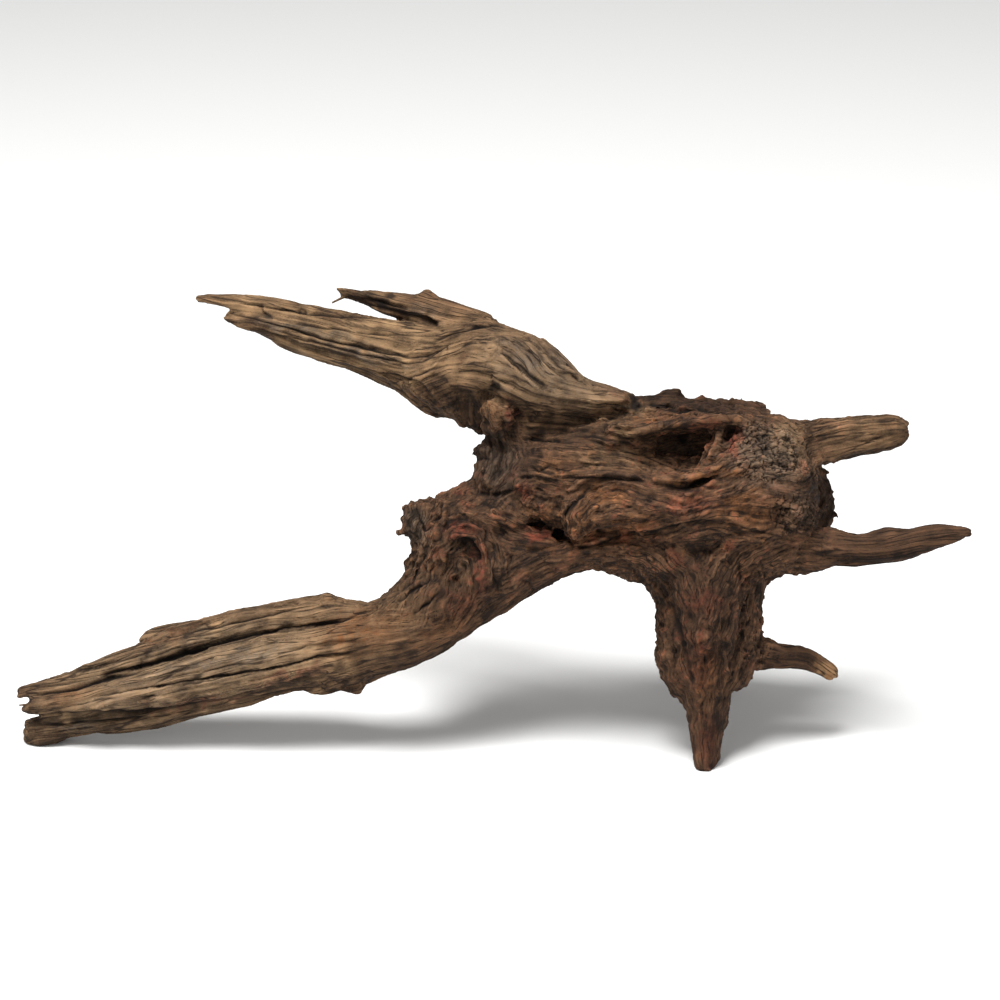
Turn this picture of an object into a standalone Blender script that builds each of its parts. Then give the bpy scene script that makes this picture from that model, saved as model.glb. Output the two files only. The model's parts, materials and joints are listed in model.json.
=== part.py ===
"""A piece of driftwood: a root crown with long weathered limbs, standing on three of its root tips.

Every limb is laid out on a front drawing, as seen by someone who stands in front of the piece and
looks a little down on it. A station on the drawing gives how far across, up and toward the viewer
the wood's middle lies there, and its half width and half depth, all in millimetres. The drawing is
then tipped back onto the ground. The model is in metres, +Z up, with the ground at Z = 0.
"""

import math
from collections import namedtuple

import bmesh
import bpy
import numpy as np
from mathutils import Matrix, Vector, noise

# The front drawing and how it stands on the ground, in millimetres and degrees.
MM = 0.001
SIGHT_TILT = math.radians(20.0)
SIGHT_DISTANCE = 1875.0
HEIGHT_OF_DRAWING_CENTRE = 121.5
BOX_MIDDLE = (-4.7, 4.6)

# Loft, fusing and fit.
STATION_STEP = 3.0
RING_POINTS = 20
GAP = 0.3
GROUND_DEPTH = 40.0
GROUND_REACH = 700.0

Station = namedtuple("Station", "across up toward wide deep")
Strand = namedtuple("Strand", "stations lobes lobe_share turn")
Hollow = namedtuple("Hollow", "across up half_width half_height lean depth")
Groove = namedtuple("Groove", "points half_width depth")
Ragged = namedtuple("Ragged", "start end count reach lean")
Finish = namedtuple("Finish", "name colour roughness")
Group = namedtuple("Group", "strands ragged marks voxel relax lump triangles")

GREY_LIMB = Finish("weathered limb", (0.20, 0.14, 0.09, 1.0), 0.85)
DARK_CROWN = Finish("dark heartwood", (0.075, 0.045, 0.030, 1.0), 0.85)
BROWN_ROOT = Finish("brown root", (0.10, 0.062, 0.042, 1.0), 0.85)


def strand(*stations, lobes=5, lobe_share=0.06, turn=0.02):
    """A run of wood through stations of (across, up, toward, half width, half depth)."""
    return Strand([Station(*s) for s in stations], lobes, lobe_share, turn)


# The crown: a long core, with roots and lips that have grown over it.
CROWN = Group(
    strands=[
        strand((-2, 10, 0, 13, 16), (20, 11, 2, 23, 26), (50, 10, 3, 33, 32), (80, 8, 4, 37, 36),
               (110, 10, 4, 37, 37), (134, 10, 2, 33, 33), (146, 10, 0, 22, 24), lobe_share=0.03),
        # The band along the underside, from the left root to the lower right limb.
        strand((10, -33, 4, 8, 12), (30, -29, 9, 9, 16), (50, -23, 11, 11, 19), (70, -26, 12, 15, 22),
               (100, -27, 11, 19, 24), (130, -25, 8, 15, 24), (151, -25, 3, 11, 15)),
        strand((68, -14, 31, 5, 7), (90, -13, 36, 8, 8), (115, -13, 34, 9, 9), (140, -14, 24, 9, 11),
               lobe_share=0),
        # The rounded root that lies across the front.
        strand((34, -16, 29, 6, 8), (42, -7, 33, 9, 10), (66, -3, 38, 9.5, 9), (100, -3, 39, 9, 9),
               (126, 0, 35, 9, 9), (144, 2, 27, 7, 8), lobe_share=0.04),
        # The lips above and below the long hollow.
        strand((54, 36, 26, 3, 5), (64, 37, 31, 3, 5), (74, 34, 34, 3, 5), (90, 38, 32, 2.8, 6),
               (107, 40, 29, 3.5, 7), (120, 39, 25, 5, 8), (134, 32, 18, 5, 8), lobe_share=0),
        strand((46, 12, 32, 4, 5), (75, 10, 38, 3.5, 5), (100, 13, 39, 3.5, 5), (116, 18, 37, 4, 5),
               (136, 20, 30, 4, 6), lobe_share=0),
        strand((117, 40, 24, 4, 7), (122, 30, 29, 4, 7), (121, 20, 34, 4, 6), lobe_share=0),
        # The knob that closes the right end.
        strand((132, 38, 3, 12, 17), (139, 20, 6, 16.5, 29), (143, 0, 7, 17, 29), (141, -20, 5, 14, 22),
               lobe_share=0.02),
        # The crest along the top.
        strand((62, 46, -3, 5, 9), (74, 47.5, -4, 5.5, 9), (84, 47.5, -5, 6.5, 10),
               (96, 44.5, -8, 6, 11),
               (115, 44, -9, 6, 12), (133, 41, -7, 6, 12)),
        # The dark wood in the crease below the shoulder.
        strand((-4, 34, -8, 8, 9), (18, 39, -9, 9, 10), (42, 41, -8, 9, 11), (62, 40, -6, 7, 11)),
        # The dark left end, and the broken stub above it.
        strand((-5, 27, -5, 7, 11), (-4, 17, 0, 9, 14), (-6, 4, 2, 9, 15), lobes=7, lobe_share=0.09),
        strand((-6, 50, 12, 4, 4), (-5, 44, 14, 6.5, 6), (-1, 34, 10, 8, 9), lobes=4, lobe_share=0.1),
        # Roots grown along the back.
        strand((10, 22, -18, 8, 8), (50, 27, -28, 12, 10), (95, 20, -33, 13, 10),
               (138, 18, -24, 12, 11)),
        strand((16, -10, -16, 9, 9), (60, -14, -27, 12, 9), (105, -8, -33, 11, 9),
               (140, -10, -22, 12, 10)),
    ],
    ragged=[
        Ragged((80, 50, -4), (91, 50, -6), 3, 5, 80),
        Ragged((97, 47, -8), (112, 46, -8), 2, 3, 90),
        Ragged((118, 46, -8), (132, 43, -6), 3, 4, 70),
        Ragged((-9, 26, 0), (-10, 8, 2), 5, 4, 170),
        Ragged((84, -33, 34), (132, -18, 30), 5, 3, -60),
        Ragged((40, 38, -30), (110, 34, -38), 6, 5, 100),
    ],
    marks=[
        Hollow(90, 26, 28, 10.5, 3, 24),
        Hollow(62, 22, 16, 8, -4, 6),
        Hollow(114, 31, 7, 7, 50, 12),
        Hollow(97, 7.5, 13, 3, 10, 10),
        Hollow(28, -17, 8, 5, -20, 7),
        Groove([(0, 44), (20, 43), (45, 41), (62, 43)], 3, 6),
        Groove([(30, -20), (40, -21), (58, -20), (72, -17), (88, -14)], 3, 4),
        Groove([(12, 3), (26, 6), (40, 3), (52, 6)], 3, 3),
    ],
    voxel=1.8, relax=4, lump=1.2, triangles=2550,
)

# The left root: a thick gnarled arm that runs out into the long lower limb.
LEFT_ROOT = Group(
    strands=[
        strand((30, -22, 4, 15, 18), (10, -30, 4, 18, 21), (-10, -39, 5, 21, 22),
               (-30, -51, 6, 21.5, 22),
               (-49, -64.5, 5, 19, 20), (-72, -72, 2, 17, 17), (-96, -77, -2, 13, 13), lobe_share=0.04),
        strand((14, -12, 4, 12, 18), (-8, -12, 5, 17, 20), (-25, -22, 5, 17, 20), (-34, -36, 3, 11, 17),
               (-42, -50, 1, 8, 13), lobes=7, lobe_share=0.08),
        strand((-22, -10, 8, 10, 12), (-34, -10, 9, 11, 11), (-43, -9, 9, 9, 9), (-48.5, -9.5, 9, 6, 6),
               lobes=4, lobe_share=0.1),
        strand((-42, -16, 6, 4, 4), (-51, -16.5, 5, 2.2, 2), lobe_share=0),
        strand((-30, -4, 0, 7, 9), (-16, 1, 0, 8, 10), (-2, 4, 0, 9, 11)),
        # The raised lid and lower lip of the arched knot.
        strand((-27, -26, 22, 3, 4), (-20, -17, 25, 4, 5), (-11, -20, 25, 4, 5), (-8, -34, 24, 4, 5),
               (-9, -50, 20, 3, 4), lobe_share=0),
        # The limb's own strands: back flake, upper, middle and lower.
        strand((-182, -72, -24, 1.8, 3), (-174, -68.5, -23, 4, 4), (-150, -64, -21, 5, 5),
               (-120, -58, -17, 5, 6), (-88, -52, -12, 4.5, 6), (-70, -56, -8, 4, 6), lobe_share=0.03),
        strand((-242, -97, -16, 2.4, 3), (-232, -95, -15, 4.4, 5), (-220, -92.5, -14, 5, 6),
               (-195, -86, -12, 8, 9), (-165, -76, -10, 10.5, 11), (-130, -67, -7, 11, 12),
               (-90, -58.5, -5, 9.5, 12), (-62, -61, -2, 8, 12), lobe_share=0.05),
        strand((-239, -105, -10, 2, 2.5), (-232, -103.5, -9, 4.4, 4.5), (-220, -102, -8, 5.5, 6),
               (-195, -98, -5, 8, 8),
               (-160, -90, -2, 12, 10), (-130, -84, 1, 13, 11), (-100, -78, 4, 14, 12),
               (-74, -74, 5, 15, 13), (-50, -62, 5, 18, 17), lobes=6, lobe_share=0.05),
        strand((-238, -115.5, -17, 5.5, 6.5), (-229, -116.3, -18, 8, 8.5), (-210, -111, -16, 6.8, 8),
               (-180, -107.5, -14, 7.5, 9), (-140, -99.5, -11, 6.5, 9), (-105, -90, -8, 6.5, 9),
               (-78, -89, -4, 6, 8), (-60, -80, -2, 6, 8), lobe_share=0.04),
        # The knuckle under the limb's root.
        strand((-72, -80, 0, 6, 8), (-72, -90, 0, 5, 6), (-71.5, -97, 0, 2.2, 3), lobe_share=0.02),
    ],
    ragged=[
        Ragged((-41, -24, 2), (-50, -48, 2), 6, 4, 160),
        Ragged((-28, 0, 2), (-14, 4, 0), 4, 3.5, 110),
        Ragged((-8, -50, 16), (46, -32, 18), 6, 2.4, -70),
        Ragged((-44, -24, -16), (-20, -8, -18), 5, 4, 120),
    ],
    marks=[
        Hollow(-34.5, -8.5, 5, 5, 0, 6),
        Hollow(-24, -40, 5, 8, 20, 5),
        Groove([(-24, -22), (-18, -20.5), (-12, -24), (-9.5, -30)], 2.6, 6),
        Groove([(-196, -89), (-173, -82), (-155, -75.5), (-141, -70.5), (-112, -65.5), (-88, -63),
                (-62, -55)],
               3.0, 5),
        Groove([(-227, -107), (-195, -106.5), (-160, -101), (-122, -94), (-106, -88.5),
                (-88, -88)], 2.6, 4),
        Groove([(-4, -16), (8, -14), (24, -18)], 3, 3),
    ],
    voxel=1.6, relax=2, lump=0.8, triangles=1850,
)

# The shoulder, a heavy root that sweeps over the crown and out into the long upper limb.
SHOULDER = Group(
    strands=[
        strand((72, 46.5, 2, 3, 5), (58, 48.5, 5, 6.5, 9), (40, 50, 8, 10.5, 14), (20, 59, 8, 18, 20),
               (0, 66, 5, 21, 22), (-22, 62, 0, 20, 18), (-44, 69, -5, 15, 13), lobe_share=0.03),
        # The limb's strands: upper, middle and lower.
        strand((-153, 101.5, -35, 2.3, 3), (-135, 99.5, -32, 3.8, 5), (-115, 96, -28, 6, 7),
               (-85, 87.5, -22, 8.5, 9), (-55, 81, -15, 9, 11), (-32, 78, -8, 9.5, 12),
               (-8, 80, 0, 9.4, 14), (16, 74, 3, 8, 14), (31, 64, 3, 5, 10), lobe_share=0.05),
        strand((-139, 91, -29, 1.8, 2.5), (-125, 89, -26, 4.5, 5.5), (-100, 83.5, -20, 8, 8),
               (-70, 75, -12, 9.5, 10), (-40, 67, -5, 9.5, 12), (-18, 60, 2, 12, 14), lobe_share=0.06),
        strand((-121, 85.5, -27, 1.6, 2.5), (-105, 78.5, -23, 4, 6), (-80, 72.5, -17, 5.2, 8),
               (-55, 63, -12, 5.6, 9), (-38, 52, -8, 6, 9), (-29, 42.5, -5, 3.2, 5), lobe_share=0.04),
        strand((-40, 58, -8, 8, 10), (-22, 50, -5, 9, 12), (-6, 42, -4, 9, 13), lobe_share=0.06),
    ],
    ragged=[
        Ragged((-22, 42, 2), (-8, 33, -2), 5, 3, 210),
        Ragged((12, 83, 0), (24, 76, 0), 3, 2.4, 50),
        Ragged((-116, 84, -24), (-92, 76, -20), 4, 2.4, 230),
    ],
    marks=[
        Groove([(-74, 77), (-58, 75), (-42, 71), (-34, 71), (-27, 77), (-22, 82), (-12, 84),
                (2, 83)], 2.6, 4),
        Groove([(-128, 94), (-104, 92), (-82, 87), (-60, 84)], 2.0, 2.6),
        Groove([(-96, 76), (-66, 68), (-46, 61), (-32, 50)], 2.0, 2.2),
        Groove([(2, 78), (10, 70), (22, 60)], 2.0, 2.4),
        Groove([(16, 80), (26, 66), (38, 58)], 2.0, 2.0),
        Hollow(-5, 54, 7, 6, -30, 7),
    ],
    voxel=1.6, relax=2, lump=0.7, triangles=1350,
)

UPPER_PRONG = Group(
    strands=[
        strand((-83, 106.3, -28, 1.1, 1.3), (-72, 102.7, -26, 2.8, 3), (-57, 98, -23, 5.6, 5),
               (-40, 94.7, -20, 8, 7), (-25, 90.5, -16, 8.8, 9), (-5, 82, -10, 8.5, 10),
               lobes=3, lobe_share=0.06),
        strand((-34, 99, -20, 4, 4), (-37, 105, -20, 2.4, 2.6), lobe_share=0),
        strand((-74, 103.5, -26, 1, 1.2), (-80, 100.5, -27, 0.9, 1), (-84, 98.7, -28, 0.8, 0.9),
               lobe_share=0),
    ],
    ragged=[],
    marks=[Groove([(-66, 98), (-44, 91), (-24, 87)], 1.8, 1.6)],
    voxel=0.8, relax=1, lump=0.4, triangles=320,
)

UPPER_RIGHT = Group(
    strands=[
        strand((142, 27, -6, 13, 14), (165, 29.5, -12, 11.6, 11), (180, 31.8, -16, 9.8, 9.5),
               (191, 33.3, -19, 10, 9.5), (199, 34.5, -21, 8.2, 8), (204, 35.2, -22, 5.6, 6),
               lobes=6, lobe_share=0.05),
        strand((136, 38, -2, 6, 9), (150, 30, 0, 7.5, 10), (160, 19, -5, 4.5, 8), lobe_share=0.03),
    ],
    ragged=[Ragged((200, 38, -20), (201, 31, -22), 3, 2.5, 0)],
    marks=[
        Groove([(178, 28), (190, 26.5), (203, 32)], 1.8, 2.4),
        Groove([(150, 40), (168, 40)], 1.6, 1.6),
    ],
    voxel=1.4, relax=2, lump=0.6, triangles=400,
)

LOWER_RIGHT = Group(
    strands=[
        strand((136, -23, 4, 13, 15), (155, -25, 6, 11, 12), (168, -23.8, 7, 9.6, 10.5),
               (180, -24.7, 10, 7.8, 8.5),
               (193, -23, 12, 9.3, 8.5), (205, -22.3, 13, 8, 7), (214, -18.8, 13, 6.6, 6),
               (222, -17, 14, 5.4, 5.2),
               (232, -16.2, 15, 3.5, 3.6), (237, -16, 15, 2, 2.2), lobes=6, lobe_share=0.04),
    ],
    ragged=[
        Ragged((190, -15, 12), (194, -14.5, 14), 1, 1.6, 80),
        Ragged((214, -23, 12), (226, -20, 14), 3, 1.6, -50),
    ],
    marks=[],
    voxel=1.1, relax=1, lump=0.4, triangles=400,
)

FRONT_LEG = Group(
    strands=[
        strand((102, -30, 12, 25, 27), (103, -48, 14, 20, 24), (103, -78, 13, 15.5, 16),
               (103.5, -100, 12, 12, 11),
               (103.5, -112, 11, 10, 9.5), (102.5, -125, 10, 7.4, 8.5), (102.5, -132, 10, 6, 7.5),
               (102, -137, 10, 4.5, 6), lobes=6, lobe_share=0.05),
        strand((81, -36, 8, 9, 14), (87, -58, 9, 8, 13), (86.5, -77, 10, 9.2, 12), (89, -92, 10, 7, 8),
               (87, -99, 10, 2.6, 3), lobe_share=0.06),
        strand((123, -38, 5, 12, 15), (120, -56, 6, 10, 13), (121, -68, 6, 11, 13),
               (120, -84, 7, 7.5, 10),
               (119, -93, 8, 4, 5),
               lobes=7, lobe_share=0.1),
    ],
    ragged=[
        Ragged((80, -56, 10), (82, -92, 10), 6, 2.4, 190),
        Ragged((128, -56, 6), (126, -84, 8), 5, 4, -10),
    ],
    marks=[
        Groove([(94, -52), (96, -76), (97, -96)], 2.4, 2.4),
        Groove([(112, -56), (111, -80), (109, -98)], 2.2, 2.2),
    ],
    voxel=1.7, relax=2, lump=0.9, triangles=760,
)

LEG_SPUR = Group(
    strands=[
        strand((120, -77, 4, 8, 9), (137.5, -77.5, 0, 6.2, 6.8), (150, -78.7, -4, 5.8, 6),
               (160, -83.3, -8, 4.5, 4.8),
               (168, -88.5, -11, 2.8, 3), lobes=7, lobe_share=0.05),
    ],
    ragged=[Ragged((125, -68, 4), (133, -71, 2), 3, 3, 70)],
    marks=[],
    voxel=1.2, relax=1, lump=0.4, triangles=200,
)

REAR_ROOT = Group(
    strands=[
        strand((150, 12, -22, 10, 9), (157, 3, -30, 9, 10), (158, -7, -36, 9, 9),
               (146, -19, -43, 9, 10),
               (132, -30, -50, 9, 11),
               (119, -45, -60, 9.5, 10.5), (111, -64, -73, 9, 9.5), (106, -80, -83, 8, 8.5),
               (103, -93, -91, 7, 7.5), lobes=6, lobe_share=0.08),
    ],
    ragged=[
        Ragged((163, 12, -26), (165, -6, -34), 5, 3, 0),
        Ragged((126, -34, -64), (110, -70, -84), 5, 3, 150),
    ],
    marks=[],
    voxel=1.7, relax=2, lump=0.9, triangles=460,
)

# Where a group runs on end to end, it is sawn into two nodes at a plane: a point and the way it faces.
LEFT_FORK = ((-58, -64, 2), (-0.93, -0.34, -0.1))
SHOULDER_FORK = ((-30, 66, -6), (-0.97, 0.18, -0.15))


def to_ground(across, up, toward):
    """The place, in metres, of a point given on the front drawing."""
    nearer = 1.0 - toward / SIGHT_DISTANCE
    rise = up * nearer
    return Vector((
        across * nearer - BOX_MIDDLE[0],
        rise * math.sin(SIGHT_TILT) - toward * math.cos(SIGHT_TILT) - BOX_MIDDLE[1],
        rise * math.cos(SIGHT_TILT) + toward * math.sin(SIGHT_TILT) + HEIGHT_OF_DRAWING_CENTRE,
    )) * MM


def to_drawing(points):
    """The (across, up, toward) rows, in millimetres, of points given as rows in metres."""
    at = points / MM
    y, z = at[:, 1] + BOX_MIDDLE[1], at[:, 2] - HEIGHT_OF_DRAWING_CENTRE
    toward = z * math.sin(SIGHT_TILT) - y * math.cos(SIGHT_TILT)
    rise = z * math.cos(SIGHT_TILT) + y * math.sin(SIGHT_TILT)
    nearer = 1.0 - toward / SIGHT_DISTANCE
    return np.stack([(at[:, 0] + BOX_MIDDLE[0]) / nearer, rise / nearer, toward], axis=1)


def smooth_run(stations):
    """Points of a Catmull-Rom curve through the stations, about STATION_STEP apart."""
    rows = np.array(stations, float)
    padded = np.vstack([2 * rows[0] - rows[1], rows, 2 * rows[-1] - rows[-2]])
    made = []
    for before, start, end, after in zip(padded, padded[1:], padded[2:], padded[3:]):
        steps = max(2, round(np.linalg.norm((end - start)[:3]) / STATION_STEP))
        for t in np.arange(steps) / steps:
            made.append(0.5 * (2 * start + (end - before) * t
                               + (2 * before - 5 * start + 4 * end - after) * t**2
                               + (3 * start - before - 3 * end + after) * t**3))
    made.append(rows[-1])
    least = rows[:, 3:].min(axis=0)
    return [Station(*row[:3], *np.maximum(row[3:], 0.8 * least)) for row in made]


def loft(run, bm):
    """Adds a strand to bm as rings of points around its line, closed at both ends."""
    line = smooth_run(run.stations)
    places = [Vector(s[:3]) for s in line]
    rings = []
    along = 0.0
    for i, station in enumerate(line):
        here = places[i]
        heading = (places[min(i + 1, len(line) - 1)] - places[max(i - 1, 0)]).normalized()
        side = heading.cross(Vector((0, 0, 1))).normalized()
        out = side.cross(heading)
        along += (here - places[max(i - 1, 0)]).length
        ring = []
        for k in range(RING_POINTS):
            angle = 2 * math.pi * k / RING_POINTS
            swell = 1 + run.lobe_share * math.cos(run.lobes * (angle + run.turn * along))
            offset = (side * station.wide * math.cos(angle) + out * station.deep * math.sin(angle)) * swell
            ring.append(bm.verts.new(to_ground(*(here + offset))))
        rings.append(ring)
    for ring, following in zip(rings, rings[1:]):
        for k in range(RING_POINTS):
            after = (k + 1) % RING_POINTS
            bm.faces.new((ring[k], following[k], following[after], ring[after]))
    bm.faces.new(rings[0])
    bm.faces.new(reversed(rings[-1]))


def splinter_strands(edge, group_seed):
    """The short tapered splinters of one ragged edge, as strands."""
    start, end = Vector(edge.start), Vector(edge.end)
    made = []
    for i in range(edge.count):
        share = (i + 0.5) / edge.count
        wander = noise.noise(Vector((group_seed, 3.7 * i, edge.reach)))
        root = start.lerp(end, share + 0.3 * wander / edge.count)
        angle = math.radians(edge.lean + 50 * wander)
        reach = edge.reach * (1.0 + 0.9 * noise.noise(Vector((5.1 * i, group_seed, 0.4))))
        tip = root + Vector((math.cos(angle), math.sin(angle), 0.4 * wander)) * reach
        inner = root - (tip - root) * 0.9
        made.append(strand((*inner, 3.4, 3.8), (*root, 2.6, 3.0), (*tip, 0.9, 1.2), lobe_share=0))
    return made


def solid_object(name, bm):
    """An object of that name holding the mesh in bm, with its faces pointing out."""
    mesh = bpy.data.meshes.new(name)
    bmesh.ops.recalc_face_normals(bm, faces=bm.faces)
    bm.to_mesh(mesh)
    bm.free()
    obj = bpy.data.objects.new(name, mesh)
    bpy.context.scene.collection.objects.link(obj)
    return obj


def apply_modifiers(obj):
    """Replaces obj's mesh by what its modifiers make of it."""
    bpy.context.view_layer.update()
    shape = bpy.data.meshes.new_from_object(obj.evaluated_get(bpy.context.evaluated_depsgraph_get()))
    obj.modifiers.clear()
    obj.data = shape


def fuse(name, group, seed):
    """One closed mesh of a group's strands: overlapping lofts, fused, eased, marked and thinned out."""
    bm = bmesh.new()
    for run in group.strands:
        loft(run, bm)
    for number, edge in enumerate(group.ragged):
        for run in splinter_strands(edge, seed + number):
            loft(run, bm)
    obj = solid_object(name, bm)
    fuse_modifier(obj, group.voxel)
    eased = obj.modifiers.new("Ease", "SMOOTH")
    eased.factor = 0.5
    eased.iterations = group.relax
    apply_modifiers(obj)
    mark(obj, group, seed)
    fuse_modifier(obj, group.voxel)
    apply_modifiers(obj)
    thin_out(obj, group.triangles)
    return obj


def fuse_modifier(obj, voxel):
    """Makes one even skin of all that obj holds."""
    fused = obj.modifiers.new("Fuse", "REMESH")
    fused.mode = "VOXEL"
    fused.voxel_size = voxel * MM


def mark(obj, group, seed):
    """Presses the group's hollows and grooves into the side that faces the viewer, and lumps all over."""
    mesh = obj.data
    points = np.empty(len(mesh.vertices) * 3)
    normals = np.empty(len(mesh.vertices) * 3)
    mesh.vertices.foreach_get("co", points)
    mesh.vertices.foreach_get("normal", normals)
    points, normals = points.reshape(-1, 3), normals.reshape(-1, 3)
    drawn = to_drawing(points)
    facing = np.clip((sight_axis() @ normals.T) / 0.4, 0, 1)
    press = np.zeros(len(points))
    for feature in group.marks:
        share_of = hollow_share if isinstance(feature, Hollow) else groove_share
        shape = share_of(feature, drawn)
        press = np.maximum(press, feature.depth * shape)
    points -= sight_axis() * (press * facing)[:, None] * MM
    lumps = np.array([lumpiness(p, seed) for p in points]) * group.lump
    points += normals * lumps[:, None] * MM
    mesh.vertices.foreach_set("co", points.ravel())
    mesh.update()


def sight_axis():
    """The unit vector that points toward the viewer."""
    return np.array([0.0, -math.cos(SIGHT_TILT), math.sin(SIGHT_TILT)])


def hollow_share(hollow, drawn):
    """How much of a hollow's depth each drawn point takes: 1 in its middle, 0 at its rim."""
    lean = math.radians(hollow.lean)
    dx, dy = drawn[:, 0] - hollow.across, drawn[:, 1] - hollow.up
    a = (dx * math.cos(lean) + dy * math.sin(lean)) / hollow.half_width
    b = (dy * math.cos(lean) - dx * math.sin(lean)) / hollow.half_height
    return np.clip(1 - (a * a + b * b) ** 1.3, 0, 1)


def groove_share(groove, drawn):
    """How much of a groove's depth each drawn point takes: 1 on its line, 0 at its sides and ends."""
    nearest = np.full(len(drawn), np.inf)
    for start, end in zip(np.array(groove.points, float), np.array(groove.points[1:], float)):
        run = end - start
        share = np.clip((drawn[:, :2] - start) @ run / (run @ run), 0, 1)
        nearest = np.minimum(nearest, np.linalg.norm(drawn[:, :2] - start - share[:, None] * run, axis=1))
    return np.clip(1 - nearest / groove.half_width, 0, 1)


def lumpiness(point, seed):
    """A smooth value of about -1 to 1 that swells and sinks over a couple of centimetres."""
    at = Vector(point) / MM
    shift = Vector((seed, 0.37 * seed, 0))
    return noise.noise(at / 17 + shift) + 0.8 * noise.noise(at / 7.5 - shift)


def thin_out(obj, triangles):
    """Lowers obj to about that many triangles, most where it is plain."""
    obj.data.calc_loop_triangles()
    fewer = obj.modifiers.new("Thin out", "DECIMATE")
    fewer.ratio = min(1.0, triangles / len(obj.data.loop_triangles))
    apply_modifiers(obj)


def cut_away(obj, cutter):
    """Takes the cutter's space out of obj and keeps the largest piece that is left."""
    cut = obj.modifiers.new("Cut", "BOOLEAN")
    cut.operation = "DIFFERENCE"
    cut.object = cutter
    cut.solver = "EXACT"
    cut.use_self = True
    apply_modifiers(obj)
    keep_largest(obj)


def keep_largest(obj):
    """Drops the loose crumbs that a cut leaves beside the main piece."""
    bm = bmesh.new()
    bm.from_mesh(obj.data)
    left, shells = set(bm.faces), []
    while left:
        shell, todo = [], [left.pop()]
        while todo:
            face = todo.pop()
            shell.append(face)
            beside = {other for edge in face.edges if edge.is_manifold for other in edge.link_faces} & left
            left -= beside
            todo.extend(beside)
        shells.append(shell)
    shells.sort(key=len)
    crumbs = [face for shell in shells[:-1] for face in shell]
    bmesh.ops.delete(bm, geom=crumbs, context="FACES")
    bm.to_mesh(obj.data)
    bm.free()


def grown_copy(obj):
    """A helper copy of obj whose skin stands a little over GAP further out."""
    copy = bpy.data.objects.new("helper_" + obj.name, obj.data.copy())
    bpy.context.scene.collection.objects.link(copy)
    swell = copy.modifiers.new("Grow", "DISPLACE")
    swell.mid_level = 0
    swell.strength = 1.5 * GAP * MM
    apply_modifiers(copy)
    return copy


def box_between(low, high, name):
    """A helper box between two corners, in metres."""
    bm = bmesh.new()
    size = Vector(high) - Vector(low)
    bmesh.ops.create_cube(bm, size=1.0, matrix=Matrix.Translation((Vector(high) + Vector(low)) / 2)
                          @ Matrix.Diagonal((*size, 1.0)))
    return solid_object(name, bm)


def drop(obj):
    """Removes a helper."""
    bpy.data.objects.remove(obj)


def cut_by_neighbour(obj, neighbour):
    """Cuts obj back to GAP from a neighbour that it has grown into.

    The helper's skin can dip in a sharp crease, so the neighbour itself cuts once more.
    """
    helper = grown_copy(neighbour)
    cut_away(obj, helper)
    cut_away(obj, neighbour)
    drop(helper)


def stand_on_ground(obj):
    """Wears the lowest tips flat where they stand on the ground."""
    reach, depth = GROUND_REACH * MM, GROUND_DEPTH * MM
    helper = box_between((-reach, -reach, -depth), (reach, reach, 0), "helper_ground")
    cut_away(obj, helper)
    drop(helper)


def split(obj, fork, outer_name):
    """Saws obj in two at a fork plane, and gives the outer piece its own object."""
    at = to_ground(*fork[0])
    facing = (to_ground(*(Vector(fork[0]) + Vector(fork[1]) * 10)) - at).normalized()
    turn = facing.to_track_quat("Z", "Y").to_matrix().to_4x4()
    reach = GROUND_REACH * MM
    outer = bpy.data.objects.new(outer_name, obj.data.copy())
    bpy.context.scene.collection.objects.link(outer)
    helper = box_between((-reach, -reach, -GAP * MM / 2), (reach, reach, reach), "helper_fork")
    helper.matrix_world = Matrix.Translation(at) @ turn
    cut_away(obj, helper)
    helper.matrix_world = Matrix.Translation(at) @ turn @ Matrix.Rotation(math.pi, 4, "X")
    cut_away(outer, helper)
    drop(helper)
    return outer


def finish(obj, look):
    """Shades obj smooth and gives it its material."""
    material = bpy.data.materials.get(look.name)
    if material is None:
        material = bpy.data.materials.new(look.name)
        material.use_nodes = True
        shader = material.node_tree.nodes["Principled BSDF"]
        shader.inputs["Base Color"].default_value = look.colour
        shader.inputs["Roughness"].default_value = look.roughness
        shader.inputs["Metallic"].default_value = 0.0
    obj.data.materials.clear()
    obj.data.materials.append(material)
    obj.data.shade_smooth()


def main():
    for obj in list(bpy.data.objects):
        bpy.data.objects.remove(obj)

    crown = fuse("crown", CROWN, 1.0)
    left_root = fuse("left_root", LEFT_ROOT, 2.0)
    shoulder = fuse("shoulder", SHOULDER, 3.0)
    prong = fuse("upper_prong", UPPER_PRONG, 4.0)
    upper_right = fuse("upper_right_limb", UPPER_RIGHT, 5.0)
    lower_right = fuse("lower_right_limb", LOWER_RIGHT, 6.0)
    leg = fuse("front_leg", FRONT_LEG, 7.0)
    spur = fuse("leg_spur", LEG_SPUR, 8.0)
    rear = fuse("rear_root", REAR_ROOT, 9.0)

    # Each piece is cut back to the ones before it that it grows from.
    carriers = (
        (left_root, [crown]),
        (shoulder, [crown, left_root]),
        (prong, [shoulder]),
        (upper_right, [crown]),
        (lower_right, [crown, upper_right]),
        (leg, [crown, lower_right]),
        (spur, [leg, crown]),
        (rear, [crown, lower_right, upper_right, leg, spur]),
    )
    for piece, neighbours in carriers:
        for neighbour in neighbours:
            cut_by_neighbour(piece, neighbour)
    for piece in (left_root, leg, rear):
        stand_on_ground(piece)

    lower_left_limb = split(left_root, LEFT_FORK, "lower_left_limb")
    upper_left_limb = split(shoulder, SHOULDER_FORK, "upper_left_limb")

    for piece in (crown, leg, rear):
        finish(piece, DARK_CROWN)
    for piece in (left_root, spur, upper_right, lower_right):
        finish(piece, BROWN_ROOT)
    for piece in (shoulder, prong, lower_left_limb, upper_left_limb):
        finish(piece, GREY_LIMB)


main()
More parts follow.
